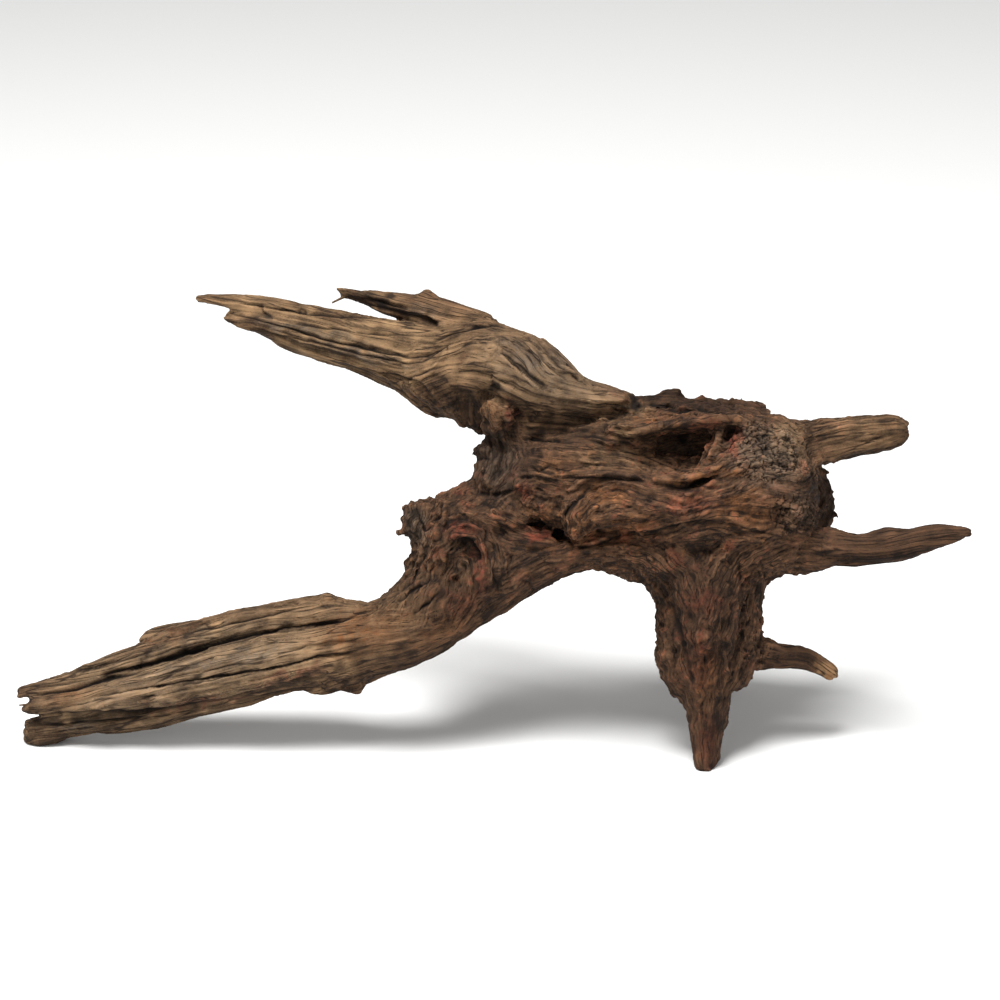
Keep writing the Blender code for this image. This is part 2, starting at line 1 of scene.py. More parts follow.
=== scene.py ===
"""Weathered root driftwood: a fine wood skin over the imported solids, and a plain studio.

The marks on the wood are laid out on a front drawing: millimetres across, up and toward the viewer,
as seen from the camera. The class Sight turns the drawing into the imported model's frame and back.
"""

import json
import logging
import math
from collections.abc import Callable
from dataclasses import dataclass, field
from enum import Enum

import bmesh
import bpy
import numpy as np
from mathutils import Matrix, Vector
from mathutils.bvhtree import BVHTree


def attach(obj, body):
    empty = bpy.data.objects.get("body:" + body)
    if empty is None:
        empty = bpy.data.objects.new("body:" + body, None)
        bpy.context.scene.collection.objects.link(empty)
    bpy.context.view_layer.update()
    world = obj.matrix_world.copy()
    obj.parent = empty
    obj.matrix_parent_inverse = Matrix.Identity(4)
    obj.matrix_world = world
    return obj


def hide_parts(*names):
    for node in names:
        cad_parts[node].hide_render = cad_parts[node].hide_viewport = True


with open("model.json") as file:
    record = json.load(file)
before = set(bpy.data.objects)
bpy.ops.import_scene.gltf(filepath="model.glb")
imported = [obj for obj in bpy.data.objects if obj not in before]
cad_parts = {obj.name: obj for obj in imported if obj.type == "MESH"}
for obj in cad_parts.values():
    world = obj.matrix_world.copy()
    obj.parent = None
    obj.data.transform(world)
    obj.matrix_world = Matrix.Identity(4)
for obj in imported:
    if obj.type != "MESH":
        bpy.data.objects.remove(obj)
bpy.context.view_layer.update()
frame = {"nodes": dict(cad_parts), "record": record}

MM = 0.001
LOG = logging.getLogger("driftwood")

# A distance that nothing reaches, and one that is further toward or away from the viewer than any wood.
FAR = 1e6
PAST_WOOD = 150.0
# Ridges narrower than this are left to the fine skin.
FINE_RIDGE = 1.6

Array = np.ndarray
Socket = bpy.types.NodeSocket
Colour = tuple[float, float, float]


class Mark(Enum):
    """What a stroke does to the wood along its line or inside its ellipse."""

    GROOVE = "groove"
    RIDGE = "ridge"
    LEDGE = "ledge"
    PIT = "pit"
    LUMP = "lump"


GROOVE, RIDGE, LEDGE, PIT, LUMP = Mark


class Stain(Enum):
    """The colours that lie on the wood in patches, with painted shade among the dark ones and painted
    highlights among the pale ones.
    """

    WEATHER = "weather"
    RED = "red"
    ORANGE = "orange"
    GREY = "grey"
    # Dark stains, and painted shade in pits, grooves, the hollow, under ledges and on the upper prong's
    # underside.
    DARK = "dark"
    SLATE = "slate"
    # Pale wood such as the cut tip, and painted highlights on lips, the flap and strand edges.
    PALE = "pale"


@dataclass(frozen=True)
class Sight:
    """The viewer's place, and the front drawing's place in the model's frame."""

    tilt: float = math.radians(20.0)
    distance: float = 1875.0
    height: float = 121.5
    middle: tuple[float, float] = (-4.7, 4.6)

    @property
    def axis(self) -> Array:
        """The unit vector from the wood to the viewer."""
        return np.array([0.0, -math.cos(self.tilt), math.sin(self.tilt)])

    def to_ground(self, drawn: Array) -> Array:
        """Places drawn points in the model's frame.

        Args:
            drawn: Rows of across, up and toward, in millimetres.

        Returns:
            Rows of x, y and z, in millimetres.
        """
        nearer = 1.0 - drawn[:, 2] / self.distance
        rise = drawn[:, 1] * nearer
        sin, cos = math.sin(self.tilt), math.cos(self.tilt)
        return np.stack([
            drawn[:, 0] * nearer - self.middle[0],
            rise * sin - drawn[:, 2] * cos - self.middle[1],
            rise * cos + drawn[:, 2] * sin + self.height,
        ], axis=1)

    def to_drawing(self, points: Array) -> Array:
        """Reads where points of the model lie on the drawing.

        Args:
            points: Rows of x, y and z, in millimetres.

        Returns:
            Rows of across, up and toward, in millimetres.
        """
        y, z = points[:, 1] + self.middle[1], points[:, 2] - self.height
        sin, cos = math.sin(self.tilt), math.cos(self.tilt)
        toward = z * sin - y * cos
        rise = z * cos + y * sin
        nearer = 1.0 - toward / self.distance
        return np.stack([(points[:, 0] + self.middle[0]) / nearer, rise / nearer, toward], axis=1)


SIGHT = Sight()


@dataclass(frozen=True)
class Stroke:
    """One mark: a line through points, or an ellipse when it has one point and two half sizes.

    A ledge stands up on the left of its line and drops on the right.
    """

    kind: Mark
    points: tuple[tuple[float, float], ...]
    width: float
    depth: float
    height: float = 0.0
    lean: float = 0.0

    @property
    def is_fine(self) -> bool:
        """True where the stroke is too narrow for the first, coarser skin."""
        return self.kind in (GROOVE, LEDGE) or (self.kind is RIDGE and self.width < FINE_RIDGE)

    def lift(self, at: Array) -> Array:
        """How far the stroke raises drawn points, in millimetres.

        Args:
            at: Rows of across and up, in millimetres.

        Returns:
            One value per row, negative where the stroke cuts in.
        """
        lift = np.zeros(len(at))
        reach = 4 * max(self.width, self.height)
        low, high = np.min(self.points, axis=0) - reach, np.max(self.points, axis=0) + reach
        near = np.flatnonzero(((at > low) & (at < high)).all(axis=1))
        if self.kind in (PIT, LUMP):
            out = ellipse_reach(at[near], self.points[0], self.width, self.height, self.lean)
            swell = np.exp(-1.6 * out ** 1.4)
            lift[near] = -swell if self.kind is PIT else swell
            return self.depth * lift
        away, side, along = distance_to_line(at[near], self.points)
        taper = np.clip(4 * along * (1 - along), 0, 1) ** 0.4
        if self.kind is LEDGE:
            step = np.tanh(side * away / (0.3 * self.width))
            raised = 0.5 * np.exp(-((away / (2.0 * self.width)) ** 2))
            dropped = -np.exp(-away / (1.1 * self.width))
            profile = 0.5 * (1 + step) * raised + 0.5 * (1 - step) * dropped
        else:
            profile = np.exp(-((away / self.width) ** 2)) * (1 if self.kind is RIDGE else -1)
        lift[near] = profile * taper
        return self.depth * lift


@dataclass(frozen=True)
class Strand:
    """A small raised form: a tapered tube laid on the wood.

    Each point holds across, up and the radius. The tube's middle stands over the wood by the lift,
    or goes from its own first level toward the viewer to its last where they are given.
    """

    points: tuple[tuple[float, float, float], ...]
    lift: float = 0.0
    level: tuple[float, float] | None = None
    sides: int = 10

    def laid(self, surface: BVHTree) -> tuple[Array, list[list[int]]]:
        """Builds the tube on the wood.

        Args:
            surface: The wood, in millimetres.

        Returns:
            Its points in the model's frame, in millimetres, and its faces.
        """
        line = rounded_line([(u, v, 0.0, r) for u, v, r in self.points], 4)
        line[:, 2] = self.levels(line, surface)
        ways = np.gradient(line[:, :3], axis=0)
        ways /= np.linalg.norm(ways, axis=1)[:, None]
        front = np.array([0.0, 0.0, 1.0]) - ways[:, 2:] * ways
        front /= np.linalg.norm(front, axis=1)[:, None]
        beside = np.cross(ways, front)
        points, faces = [], []
        for number, (spot, a, b) in enumerate(zip(line, beside, front)):
            for k in range(self.sides):
                angle = 2 * math.pi * k / self.sides
                points.append(spot[:3] + spot[3] * (math.cos(angle) * a + math.sin(angle) * b))
                if number:
                    here, before = number * self.sides, (number - 1) * self.sides
                    turned = (k + 1) % self.sides
                    faces.append([before + k, before + turned, here + turned, here + k])
        faces.append(list(range(self.sides))[::-1])
        faces.append([len(points) - self.sides + k for k in range(self.sides)])
        return SIGHT.to_ground(np.array(points)), faces

    def levels(self, line: Array, surface: BVHTree) -> Array:
        """How far toward the viewer the tube's middle lies.

        Args:
            line: The tube's line.
            surface: The wood, in millimetres.

        Returns:
            One value per point of the line, in millimetres.
        """
        if self.level is not None:
            return np.linspace(self.level[0], self.level[1], len(line))
        found = []
        for u, v in line[:, :2]:
            near, far = SIGHT.to_ground(np.array([[u, v, PAST_WOOD], [u, v, -PAST_WOOD]]))
            hit = surface.ray_cast(Vector(near), Vector(far - near))[0]
            found.append(SIGHT.to_drawing(np.array([hit]))[0, 2] if hit else np.nan)
        found = np.array(found)
        known = np.flatnonzero(~np.isnan(found))
        found = np.interp(np.arange(len(found)), known, found[known])
        for _ in range(3):
            found[1:-1] = (found[:-2] + found[1:-1] + found[2:]) / 3
        return found + self.lift


@dataclass(frozen=True)
class Patch:
    """A soft-edged ellipse on the front drawing."""

    across: float
    up: float
    half_width: float
    half_height: float
    lean: float = 0.0
    strength: float = 1.0

    def share(self, at: Array) -> Array:
        """How much of the patch drawn points take, before the wood's own unevenness.

        Args:
            at: Rows of across and up, in millimetres.

        Returns:
            One value per row, 0 to the patch's strength.
        """
        reach = ellipse_reach(at, (self.across, self.up), self.half_width, self.half_height, self.lean)
        return self.strength * np.exp(-(reach ** 1.5))


def strokes(*rows: tuple) -> tuple[Stroke, ...]:
    """The strokes of one part of the wood, from rows of a stroke's values."""
    return tuple(Stroke(*row) for row in rows)


def patches(*rows: tuple[float, ...]) -> tuple[Patch, ...]:
    """Some patches, from rows of a patch's values."""
    return tuple(Patch(*row) for row in rows)


def ellipse_reach(at: Array, middle: tuple[float, float], width: float, height: float, lean: float) -> Array:
    """The squared distance from an ellipse's middle, as 1 on the ellipse.

    Args:
        at: Rows of across and up, in millimetres.
        middle: The ellipse's middle.
        width: Its half width.
        height: Its half height.
        lean: Its turn to the left, in degrees.

    Returns:
        One value per row.
    """
    turn = math.radians(lean)
    dx, dy = at[:, 0] - middle[0], at[:, 1] - middle[1]
    a = (dx * math.cos(turn) + dy * math.sin(turn)) / width
    b = (dy * math.cos(turn) - dx * math.sin(turn)) / height
    return a * a + b * b


def distance_to_line(at: Array, points: tuple[tuple[float, float], ...]) -> tuple[Array, Array, Array]:
    """Measures drawn points against a line.

    Args:
        at: Rows of across and up, in millimetres.
        points: The line's corners.

    Returns:
        The distance to the line, +1 or -1 for its left or right side, and the share along it.
    """
    corners = np.array(points, float)
    lengths = np.linalg.norm(np.diff(corners, axis=0), axis=1)
    ends = np.concatenate([[0], np.cumsum(lengths)])
    away = np.full(len(at), np.inf)
    side = np.ones(len(at))
    along = np.zeros(len(at))
    for i, length in enumerate(lengths):
        run = (corners[i + 1] - corners[i]) / length
        offset = at - corners[i]
        reach = np.clip(offset @ run, 0, length)
        miss = offset - reach[:, None] * run
        gap = np.linalg.norm(miss, axis=1)
        closer = gap < away
        away[closer] = gap[closer]
        turn = run[0] * offset[:, 1] - run[1] * offset[:, 0]
        side[closer] = np.sign(turn[closer])
        along[closer] = (ends[i] + reach[closer]) / ends[-1]
    return away, side, along


def rounded_line(corners: list[tuple[float, ...]], pieces: int) -> Array:
    """A smooth line through some corners.

    Args:
        corners: The corners, of any number of values each.
        pieces: How many steps lie between two corners.

    Returns:
        The line's points, one row each.
    """
    knots = np.array(corners, float)
    knots = np.concatenate([[2 * knots[0] - knots[1]], knots, [2 * knots[-1] - knots[-2]]])
    points = []
    for a, b, c, d in zip(knots, knots[1:], knots[2:], knots[3:]):
        for t in np.arange(pieces) / pieces:
            points.append(0.5 * (2 * b + (c - a) * t + (2 * a - 5 * b + 4 * c - d) * t ** 2
                                 + (3 * b - a - 3 * c + d) * t ** 3))
    return np.array(points + [knots[-2]])


def soft_abs(value: Array) -> Array:
    """The size of a value, rounded off a little at 0."""
    return np.sqrt(value * value + 0.01)


def eased(value: Array, low: float, high: float) -> Array:
    """A smooth step from 0 at low to 1 at high."""
    share = np.clip((value - low) / (high - low), 0, 1)
    return share * share * (3 - 2 * share)


@dataclass
class Cloud:
    """Repeating soft noise in a turned block, read at any point."""

    seed: int
    wave: float
    size: int = 128
    blur: float = 1.0
    block: Array = field(init=False, repr=False)
    turn: Array = field(init=False, repr=False)

    def __post_init__(self) -> None:
        """Fills the block with values that have a spread of 1."""
        chance = np.random.default_rng(self.seed)
        rough = chance.standard_normal((self.size,) * 3)
        steps = np.fft.fftfreq(self.size) ** 2
        half = np.fft.rfftfreq(self.size) ** 2
        reach = steps[:, None, None] + steps[None, :, None] + half[None, None, :]
        waves = np.fft.rfftn(rough) * np.exp(-2 * (math.pi * self.blur) ** 2 * reach)
        smooth = np.fft.irfftn(waves, rough.shape)
        self.block = (smooth / smooth.std()).astype(np.float32)
        self.turn = np.linalg.qr(chance.standard_normal((3, 3)))[0] * 8.9 * self.blur / self.wave

    def read(self, at: Array) -> Array:
        """Reads the block with its cells blended.

        Args:
            at: Rows of x, y and z, in millimetres.

        Returns:
            One value per row, with a spread of about 1.
        """
        place = at @ self.turn
        low = np.floor(place).astype(np.int32)
        share = (place - low).astype(np.float32)
        total = np.zeros(len(at), np.float32)
        for corner in range(8):
            step = np.array([corner & 1, corner >> 1 & 1, corner >> 2 & 1])
            weight = np.prod(np.where(step, share, 1 - share), axis=1)
            x, y, z = ((low + step) % self.size).T
            total += weight * self.block[x, y, z]
        return total


@dataclass(frozen=True)
class Fibres:
    """Coordinates along and around the two nearest fibre runs, and the second run's share."""

    first: Array
    second: Array
    share: Array

    def read(self, cloud: Cloud, stretch: float) -> Array:
        """Reads a cloud that is drawn out along the fibres.

        Args:
            cloud: The noise.
            stretch: How many times longer it is along the fibres.

        Returns:
            One value per point, with a spread of about 1.
        """
        scale = np.array([1 / stretch, 1, 1], np.float32)
        main = (1 - self.share) * cloud.read(self.first * scale)
        other = self.share * cloud.read(self.second * scale)
        return (main + other) / np.sqrt((1 - self.share) ** 2 + self.share ** 2)


@dataclass
class Grain:
    """The way the wood's fibres run."""

    runs: tuple[tuple[tuple[float, float, float], ...], ...]
    pieces: int = 3
    margin: float = 60.0
    apart: float = 211.0
    blend: float = 11.0

    def follow(self, at: Array, depth_share: Array) -> Fibres:
        """Finds drawn points' places along and around the runs nearest to them.

        Args:
            at: Rows of across, up and toward, in millimetres.
            depth_share: How much of its distance before or behind a run counts, for each point.

        Returns:
            The fibre coordinates.
        """
        at = at.astype(np.float32)
        gaps = np.full((2, len(at)), FAR, np.float32)
        places = np.zeros((2, len(at), 3), np.float32)
        for number, run in enumerate(self.runs):
            line = rounded_line(run, self.pieces)
            low, high = line.min(axis=0) - self.margin, line.max(axis=0) + self.margin
            rows = np.flatnonzero(((at > low) & (at < high)).all(axis=1))
            gap, place = self.along(at[rows], line)
            place[:, 0] += self.apart * number
            place[:, 1] *= depth_share[rows]
            first = gap < gaps[0, rows]
            won = rows[first]
            gaps[1, won], places[1, won] = gaps[0, won], places[0, won]
            gaps[0, won], places[0, won] = gap[first], place[first]
            second = ~first & (gap < gaps[1, rows])
            gaps[1, rows[second]], places[1, rows[second]] = gap[second], place[second]
        lead = np.clip((gaps[1] - gaps[0]) / self.blend, 0, 1)
        return Fibres(places[0], places[1], 0.5 * (1 - lead))

    def along(self, at: Array, line: Array) -> tuple[Array, Array]:
        """Measures points against one run of fibres.

        Args:
            at: Rows of across, up and toward, in millimetres.
            line: The run's line.

        Returns:
            Each point's distance to the line, and its place along and around it.
        """
        ways = np.diff(line, axis=0)
        lengths = np.linalg.norm(ways, axis=1)
        ways /= lengths[:, None]
        starts = np.concatenate([[0], np.cumsum(lengths)])
        gap = np.full(len(at), FAR, np.float32)
        place = np.zeros((len(at), 3), np.float32)
        for start, way, length, corner in zip(starts, ways, lengths, line):
            offset = at - corner.astype(np.float32)
            reach = np.clip(offset @ way.astype(np.float32), 0, length)
            miss = offset - reach[:, None] * way.astype(np.float32)
            distance = np.sqrt((miss * miss).sum(axis=1))
            closer = distance < gap
            rise = np.array([0.0, 0.0, 1.0]) - way[2] * way
            rise /= np.linalg.norm(rise)
            gap[closer] = distance[closer]
            place[closer, 0] = start + reach[closer]
            place[closer, 1] = miss[closer] @ rise
            place[closer, 2] = miss[closer] @ np.cross(way, rise)
        return gap, place


@dataclass
class Skin:
    """The fused wood as arrays: points and normals in millimetres, and four-sided faces."""

    points: Array
    faces: Array
    normals: Array = field(default=None)
    edges: Array = field(default=None)

    def __post_init__(self) -> None:
        """Finds the edges and the first normals."""
        sides = np.concatenate([self.faces[:, [k, (k + 1) % 4]] for k in range(4)])
        self.edges = np.unique(np.sort(sides, axis=1), axis=0)
        self.touching = np.bincount(self.edges.ravel(), minlength=len(self.points)).astype(np.float32)
        self.find_normals()

    def find_normals(self) -> None:
        """Works the normals out again after the points have moved."""
        corners = self.points[self.faces]
        across = np.cross(corners[:, 2] - corners[:, 0], corners[:, 3] - corners[:, 1])
        total = np.zeros_like(self.points)
        for k in range(4):
            for axis in range(3):
                total[:, axis] += np.bincount(self.faces[:, k], across[:, axis], len(self.points))
        self.normals = total / np.maximum(np.linalg.norm(total, axis=1), 1e-9)[:, None]

    def eased(self, values: Array, rounds: int, factor: float = 0.5) -> Array:
        """Blends values with their neighbours'.

        Args:
            values: One value or row per point.
            rounds: How many times.
            factor: How far each goes toward its neighbours' mean.

        Returns:
            The blended values.
        """
        table = values.reshape(len(values), -1).copy()
        first, second = self.edges.T
        for _ in range(rounds):
            for column in range(table.shape[1]):
                line = table[:, column]
                total = np.bincount(first, line[second], len(line))
                total += np.bincount(second, line[first], len(line))
                table[:, column] = line + factor * (total / self.touching - line)
        return table.reshape(values.shape)

    def smooth(self, rounds: int) -> None:
        """Takes the facets off without thinning the tips.

        Args:
            rounds: How many times.
        """
        for _ in range(rounds):
            self.points = self.eased(self.points, 1, 0.55)
            self.points = self.eased(self.points, 1, -0.57)
        self.find_normals()

    def largest_part(self) -> "Skin":
        """Drops the skin's loose crumbs.

        Returns:
            The largest part of the skin.
        """
        label = np.arange(len(self.points))
        first, second = self.edges.T
        while True:
            lowest = label.copy()
            np.minimum.at(lowest, first, label[second])
            np.minimum.at(lowest, second, label[first])
            lowest = lowest[lowest]
            if (lowest == label).all():
                break
            label = lowest
        kept = label == np.bincount(label).argmax()
        number = np.cumsum(kept) - 1
        return Skin(self.points[kept], number[self.faces[kept[self.faces[:, 0]]]])


@dataclass(frozen=True)
class Nodes:
    """The nodes of one material, of the few kinds that the wood needs."""

    tree: bpy.types.NodeTree

    def add(self, kind: str, values: dict[str | int, float], links: dict[str | int, Socket],
            **settings: str) -> bpy.types.Node:
        """Adds a node.

        Args:
            kind: Its type.
            values: The values of some of its inputs.
            links: The sockets that feed its other inputs.
            **settings: Its named options, which are set first.

        Returns:
            The node.
        """
        made = self.tree.nodes.new("ShaderNode" + kind)
        for name, option in settings.items():
            setattr(made, name, option)
        for name, value in values.items():
            made.inputs[name].default_value = value
        for name, socket in links.items():
            self.tree.links.new(socket, made.inputs[name])
        return made

    def attribute(self, name: str) -> Socket:
        """One attribute of the skin, as a vector."""
        return self.add("Attribute", {}, {}, attribute_name=name).outputs["Vector"]

    def parts(self, name: str) -> list[Socket]:
        """The three values stored in one attribute of the skin."""
        return list(self.add("SeparateXYZ", {}, {"Vector": self.attribute(name)}).outputs)[:3]

    def noise(self, place: Socket, scale: float, detail: float) -> Socket:
        """Soft noise on some coordinates."""
        values = {"Scale": scale, "Detail": detail, "Roughness": 0.6}
        return self.add("TexNoise", values, {"Vector": place}).outputs["Fac"]

    def cells(self, place: Socket, scale: float) -> Socket:
        """How far some coordinates lie from the edge of their cell."""
        made = self.add("TexVoronoi", {"Scale": scale}, {"Vector": place}, feature="DISTANCE_TO_EDGE")
        return made.outputs["Distance"]

    def drawn_out(self, share: Socket, pattern: Callable[[Socket], Socket]) -> Socket:
        """A pattern that follows the fibres, blended where two runs of fibres meet."""
        first, second = (pattern(self.attribute(name)) for name in ("grain", "grain_next"))
        return self.mix(share, first, second, "FLOAT")

    def mix(self, share: Socket, first: Socket, second: Socket, data_type: str = "RGBA") -> Socket:
        """Blends two colours by a share, or two values where the type says so."""
        links = {"Factor": share, "A": first, "B": second}
        return self.add("Mix", {}, links, data_type=data_type).outputs["Result"]

    def ranged(self, value: Socket, known: tuple[float, float], wanted: tuple[float, float]) -> Socket:
        """Maps one range of values to another, smoothly, and holds them inside it.

        Args:
            value: The value.
            known: The range that it has.
            wanted: The range that it gets.

        Returns:
            The new value.
        """
        values = dict(zip(("From Min", "From Max", "To Min", "To Max"), (*known, *wanted)))
        made = self.add("MapRange", values, {"Value": value}, interpolation_type="SMOOTHSTEP")
        return made.outputs["Result"]

    def weighted(self, *parts: tuple[Socket, float], offset: float = 0.0) -> Socket:
        """The weighted sum of some values.

        Args:
            *parts: Each value and its weight.
            offset: What is added to the sum.

        Returns:
            The sum.
        """
        total = None
        for socket, weight in parts:
            links = {0: socket} if total is None else {0: socket, 2: total}
            total = self.add("Math", {1: weight, 2: offset}, links, operation="MULTIPLY_ADD").outputs[0]
        return total

    def fixed(self, colour: Colour) -> Socket:
        """A fixed colour.

        Args:
            colour: The colour, in linear values.

        Returns:
            Its socket.
        """
        made = self.add("RGB", {}, {})
        made.outputs[0].default_value = (*colour, 1.0)
        return made.outputs[0]

    def between(self, share: Socket, low: Colour, high: Colour) -> Socket:
        """A ramp from one colour to another.

        Args:
            share: Where on the ramp each point is.
            low: The colour at its low end.
            high: The colour at its high end.

        Returns:
            The colour there.
        """
        made = self.add("ValToRGB", {}, {"Fac": share})
        for stop, colour, place in zip(made.color_ramp.elements, (low, high), (0.12, 0.92)):
            stop.color = (*colour, 1.0)
            stop.position = place
        return made.outputs["Color"]

    def brighter(self, colour: Socket, gain: float) -> Socket:
        """The same colour, lighter."""
        return self.add("HueSaturation", {"Value": gain}, {"Color": colour}).outputs["Color"]


@dataclass(frozen=True)
class WoodFinish:
    """The wood's colours, from linear values, among them the dark colours of painted shade, and how its
    surface takes the light.
    """

    name: str
    heart: Colour = (0.016, 0.0090, 0.0060)
    heart_light: Colour = (0.140, 0.072, 0.038)
    dry: Colour = (0.048, 0.029, 0.0155)
    dry_light: Colour = (0.305, 0.190, 0.098)
    red: Colour = (0.165, 0.042, 0.024)
    orange: Colour = (0.150, 0.062, 0.024)
    grey: Colour = (0.135, 0.105, 0.076)
    slate: Colour = (0.062, 0.057, 0.053)
    # The dark colour is taken by the dark patches, by the cracks and as painted shade in hollows and
    # recesses.
    dark: Colour = (0.010, 0.0065, 0.0048)
    # The near-black of the painted shade in grooves and bark cracks.
    groove_shade_colour: Colour = (0.0040, 0.0028, 0.0022)
    roughness: float = 0.82
    specular: float = 0.12
    crack_scale: float = 0.36
    crack_width: float = 0.085
    bump_strength: float = 0.6
    bump_distance: float = 0.0005

    def material(self) -> bpy.types.Material:
        """Builds the node material.

        Returns:
            The material, which reads the skin's own attributes and Object coordinates.
        """
        made = bpy.data.materials.new(self.name)
        made.use_nodes = True
        nodes = Nodes(made.node_tree)
        shader = made.node_tree.nodes["Principled BSDF"]
        shader.inputs["Roughness"].default_value = self.roughness
        shader.inputs["Specular IOR Level"].default_value = self.specular
        wood, stain, wear, mix = (nodes.parts(name) for name in ("wood", "stain", "wear", "mix"))
        place = nodes.add("TexCoord", {}, {}).outputs["Object"]
        fibre = nodes.drawn_out(mix[0], lambda at: nodes.noise(at, 1.9, 3.0))
        strand = nodes.drawn_out(mix[0], lambda at: nodes.noise(at, 0.55, 2.0))
        speck = nodes.noise(place, 1100.0, 3.0)
        blotch = nodes.noise(place, 110.0, 3.0)
        tone = nodes.weighted((wood[0], 1.1), (fibre, 0.72), (strand, 0.5), (speck, 0.45), (blotch, 0.65),
                              offset=-1.22)
        heart = nodes.between(tone, self.heart, self.heart_light)
        dry = nodes.between(tone, self.dry, self.dry_light)
        colour = nodes.mix(wear[0], heart, dry)
        for share, tint in ((wear[2], self.slate), (stain[1], self.grey), (wear[1], self.orange),
                            (stain[0], self.red)):
            lit = nodes.between(tone, tuple(0.35 * c for c in tint), tuple(1.5 * c for c in tint))
            colour = nodes.mix(share, colour, lit)
        # Raised points lighter: worn edges and painted highlight.
        colour = nodes.mix(wood[1], colour, nodes.brighter(colour, 1.6))
        crack = self.cracks(nodes, mix[0], blotch)
        # Painted shade: hollows, recesses and the dark patches take the dark colour, and grooves and bark
        # cracks take the near-black one.
        dark, groove_shade_colour = nodes.fixed(self.dark), nodes.fixed(self.groove_shade_colour)
        for share, tint in ((wood[2], dark), (stain[2], dark), (crack, dark), (mix[1], groove_shade_colour)):
            colour = nodes.mix(share, colour, tint)
        height = nodes.weighted((speck, 0.5), (fibre, 1.0), (crack, -0.8))
        relief = {"Strength": self.bump_strength, "Distance": self.bump_distance}
        bump = nodes.add("Bump", relief, {"Height": height})
        made.node_tree.links.new(colour, shader.inputs["Base Color"])
        made.node_tree.links.new(bump.outputs["Normal"], shader.inputs["Normal"])
        return made

    def cracks(self, nodes: Nodes, share: Socket, blotch: Socket) -> Socket:
        """Thin long cracks along the fibres that fade in and out.

        Args:
            nodes: The material's nodes.
            share: The share of the second run of fibres.
            blotch: The noise that the cracks fade with.

        Returns:
            1 in a crack and 0 beside it.
        """
        edge = nodes.drawn_out(share, lambda at: nodes.cells(at, self.crack_scale))
        line = nodes.ranged(edge, (0.015, self.crack_width), (1.0, 0.0))
        fade = nodes.ranged(blotch, (0.38, 0.56), (0.15, 0.85))
        return nodes.add("Math", {}, {0: line, 1: fade}, operation="MULTIPLY").outputs[0]


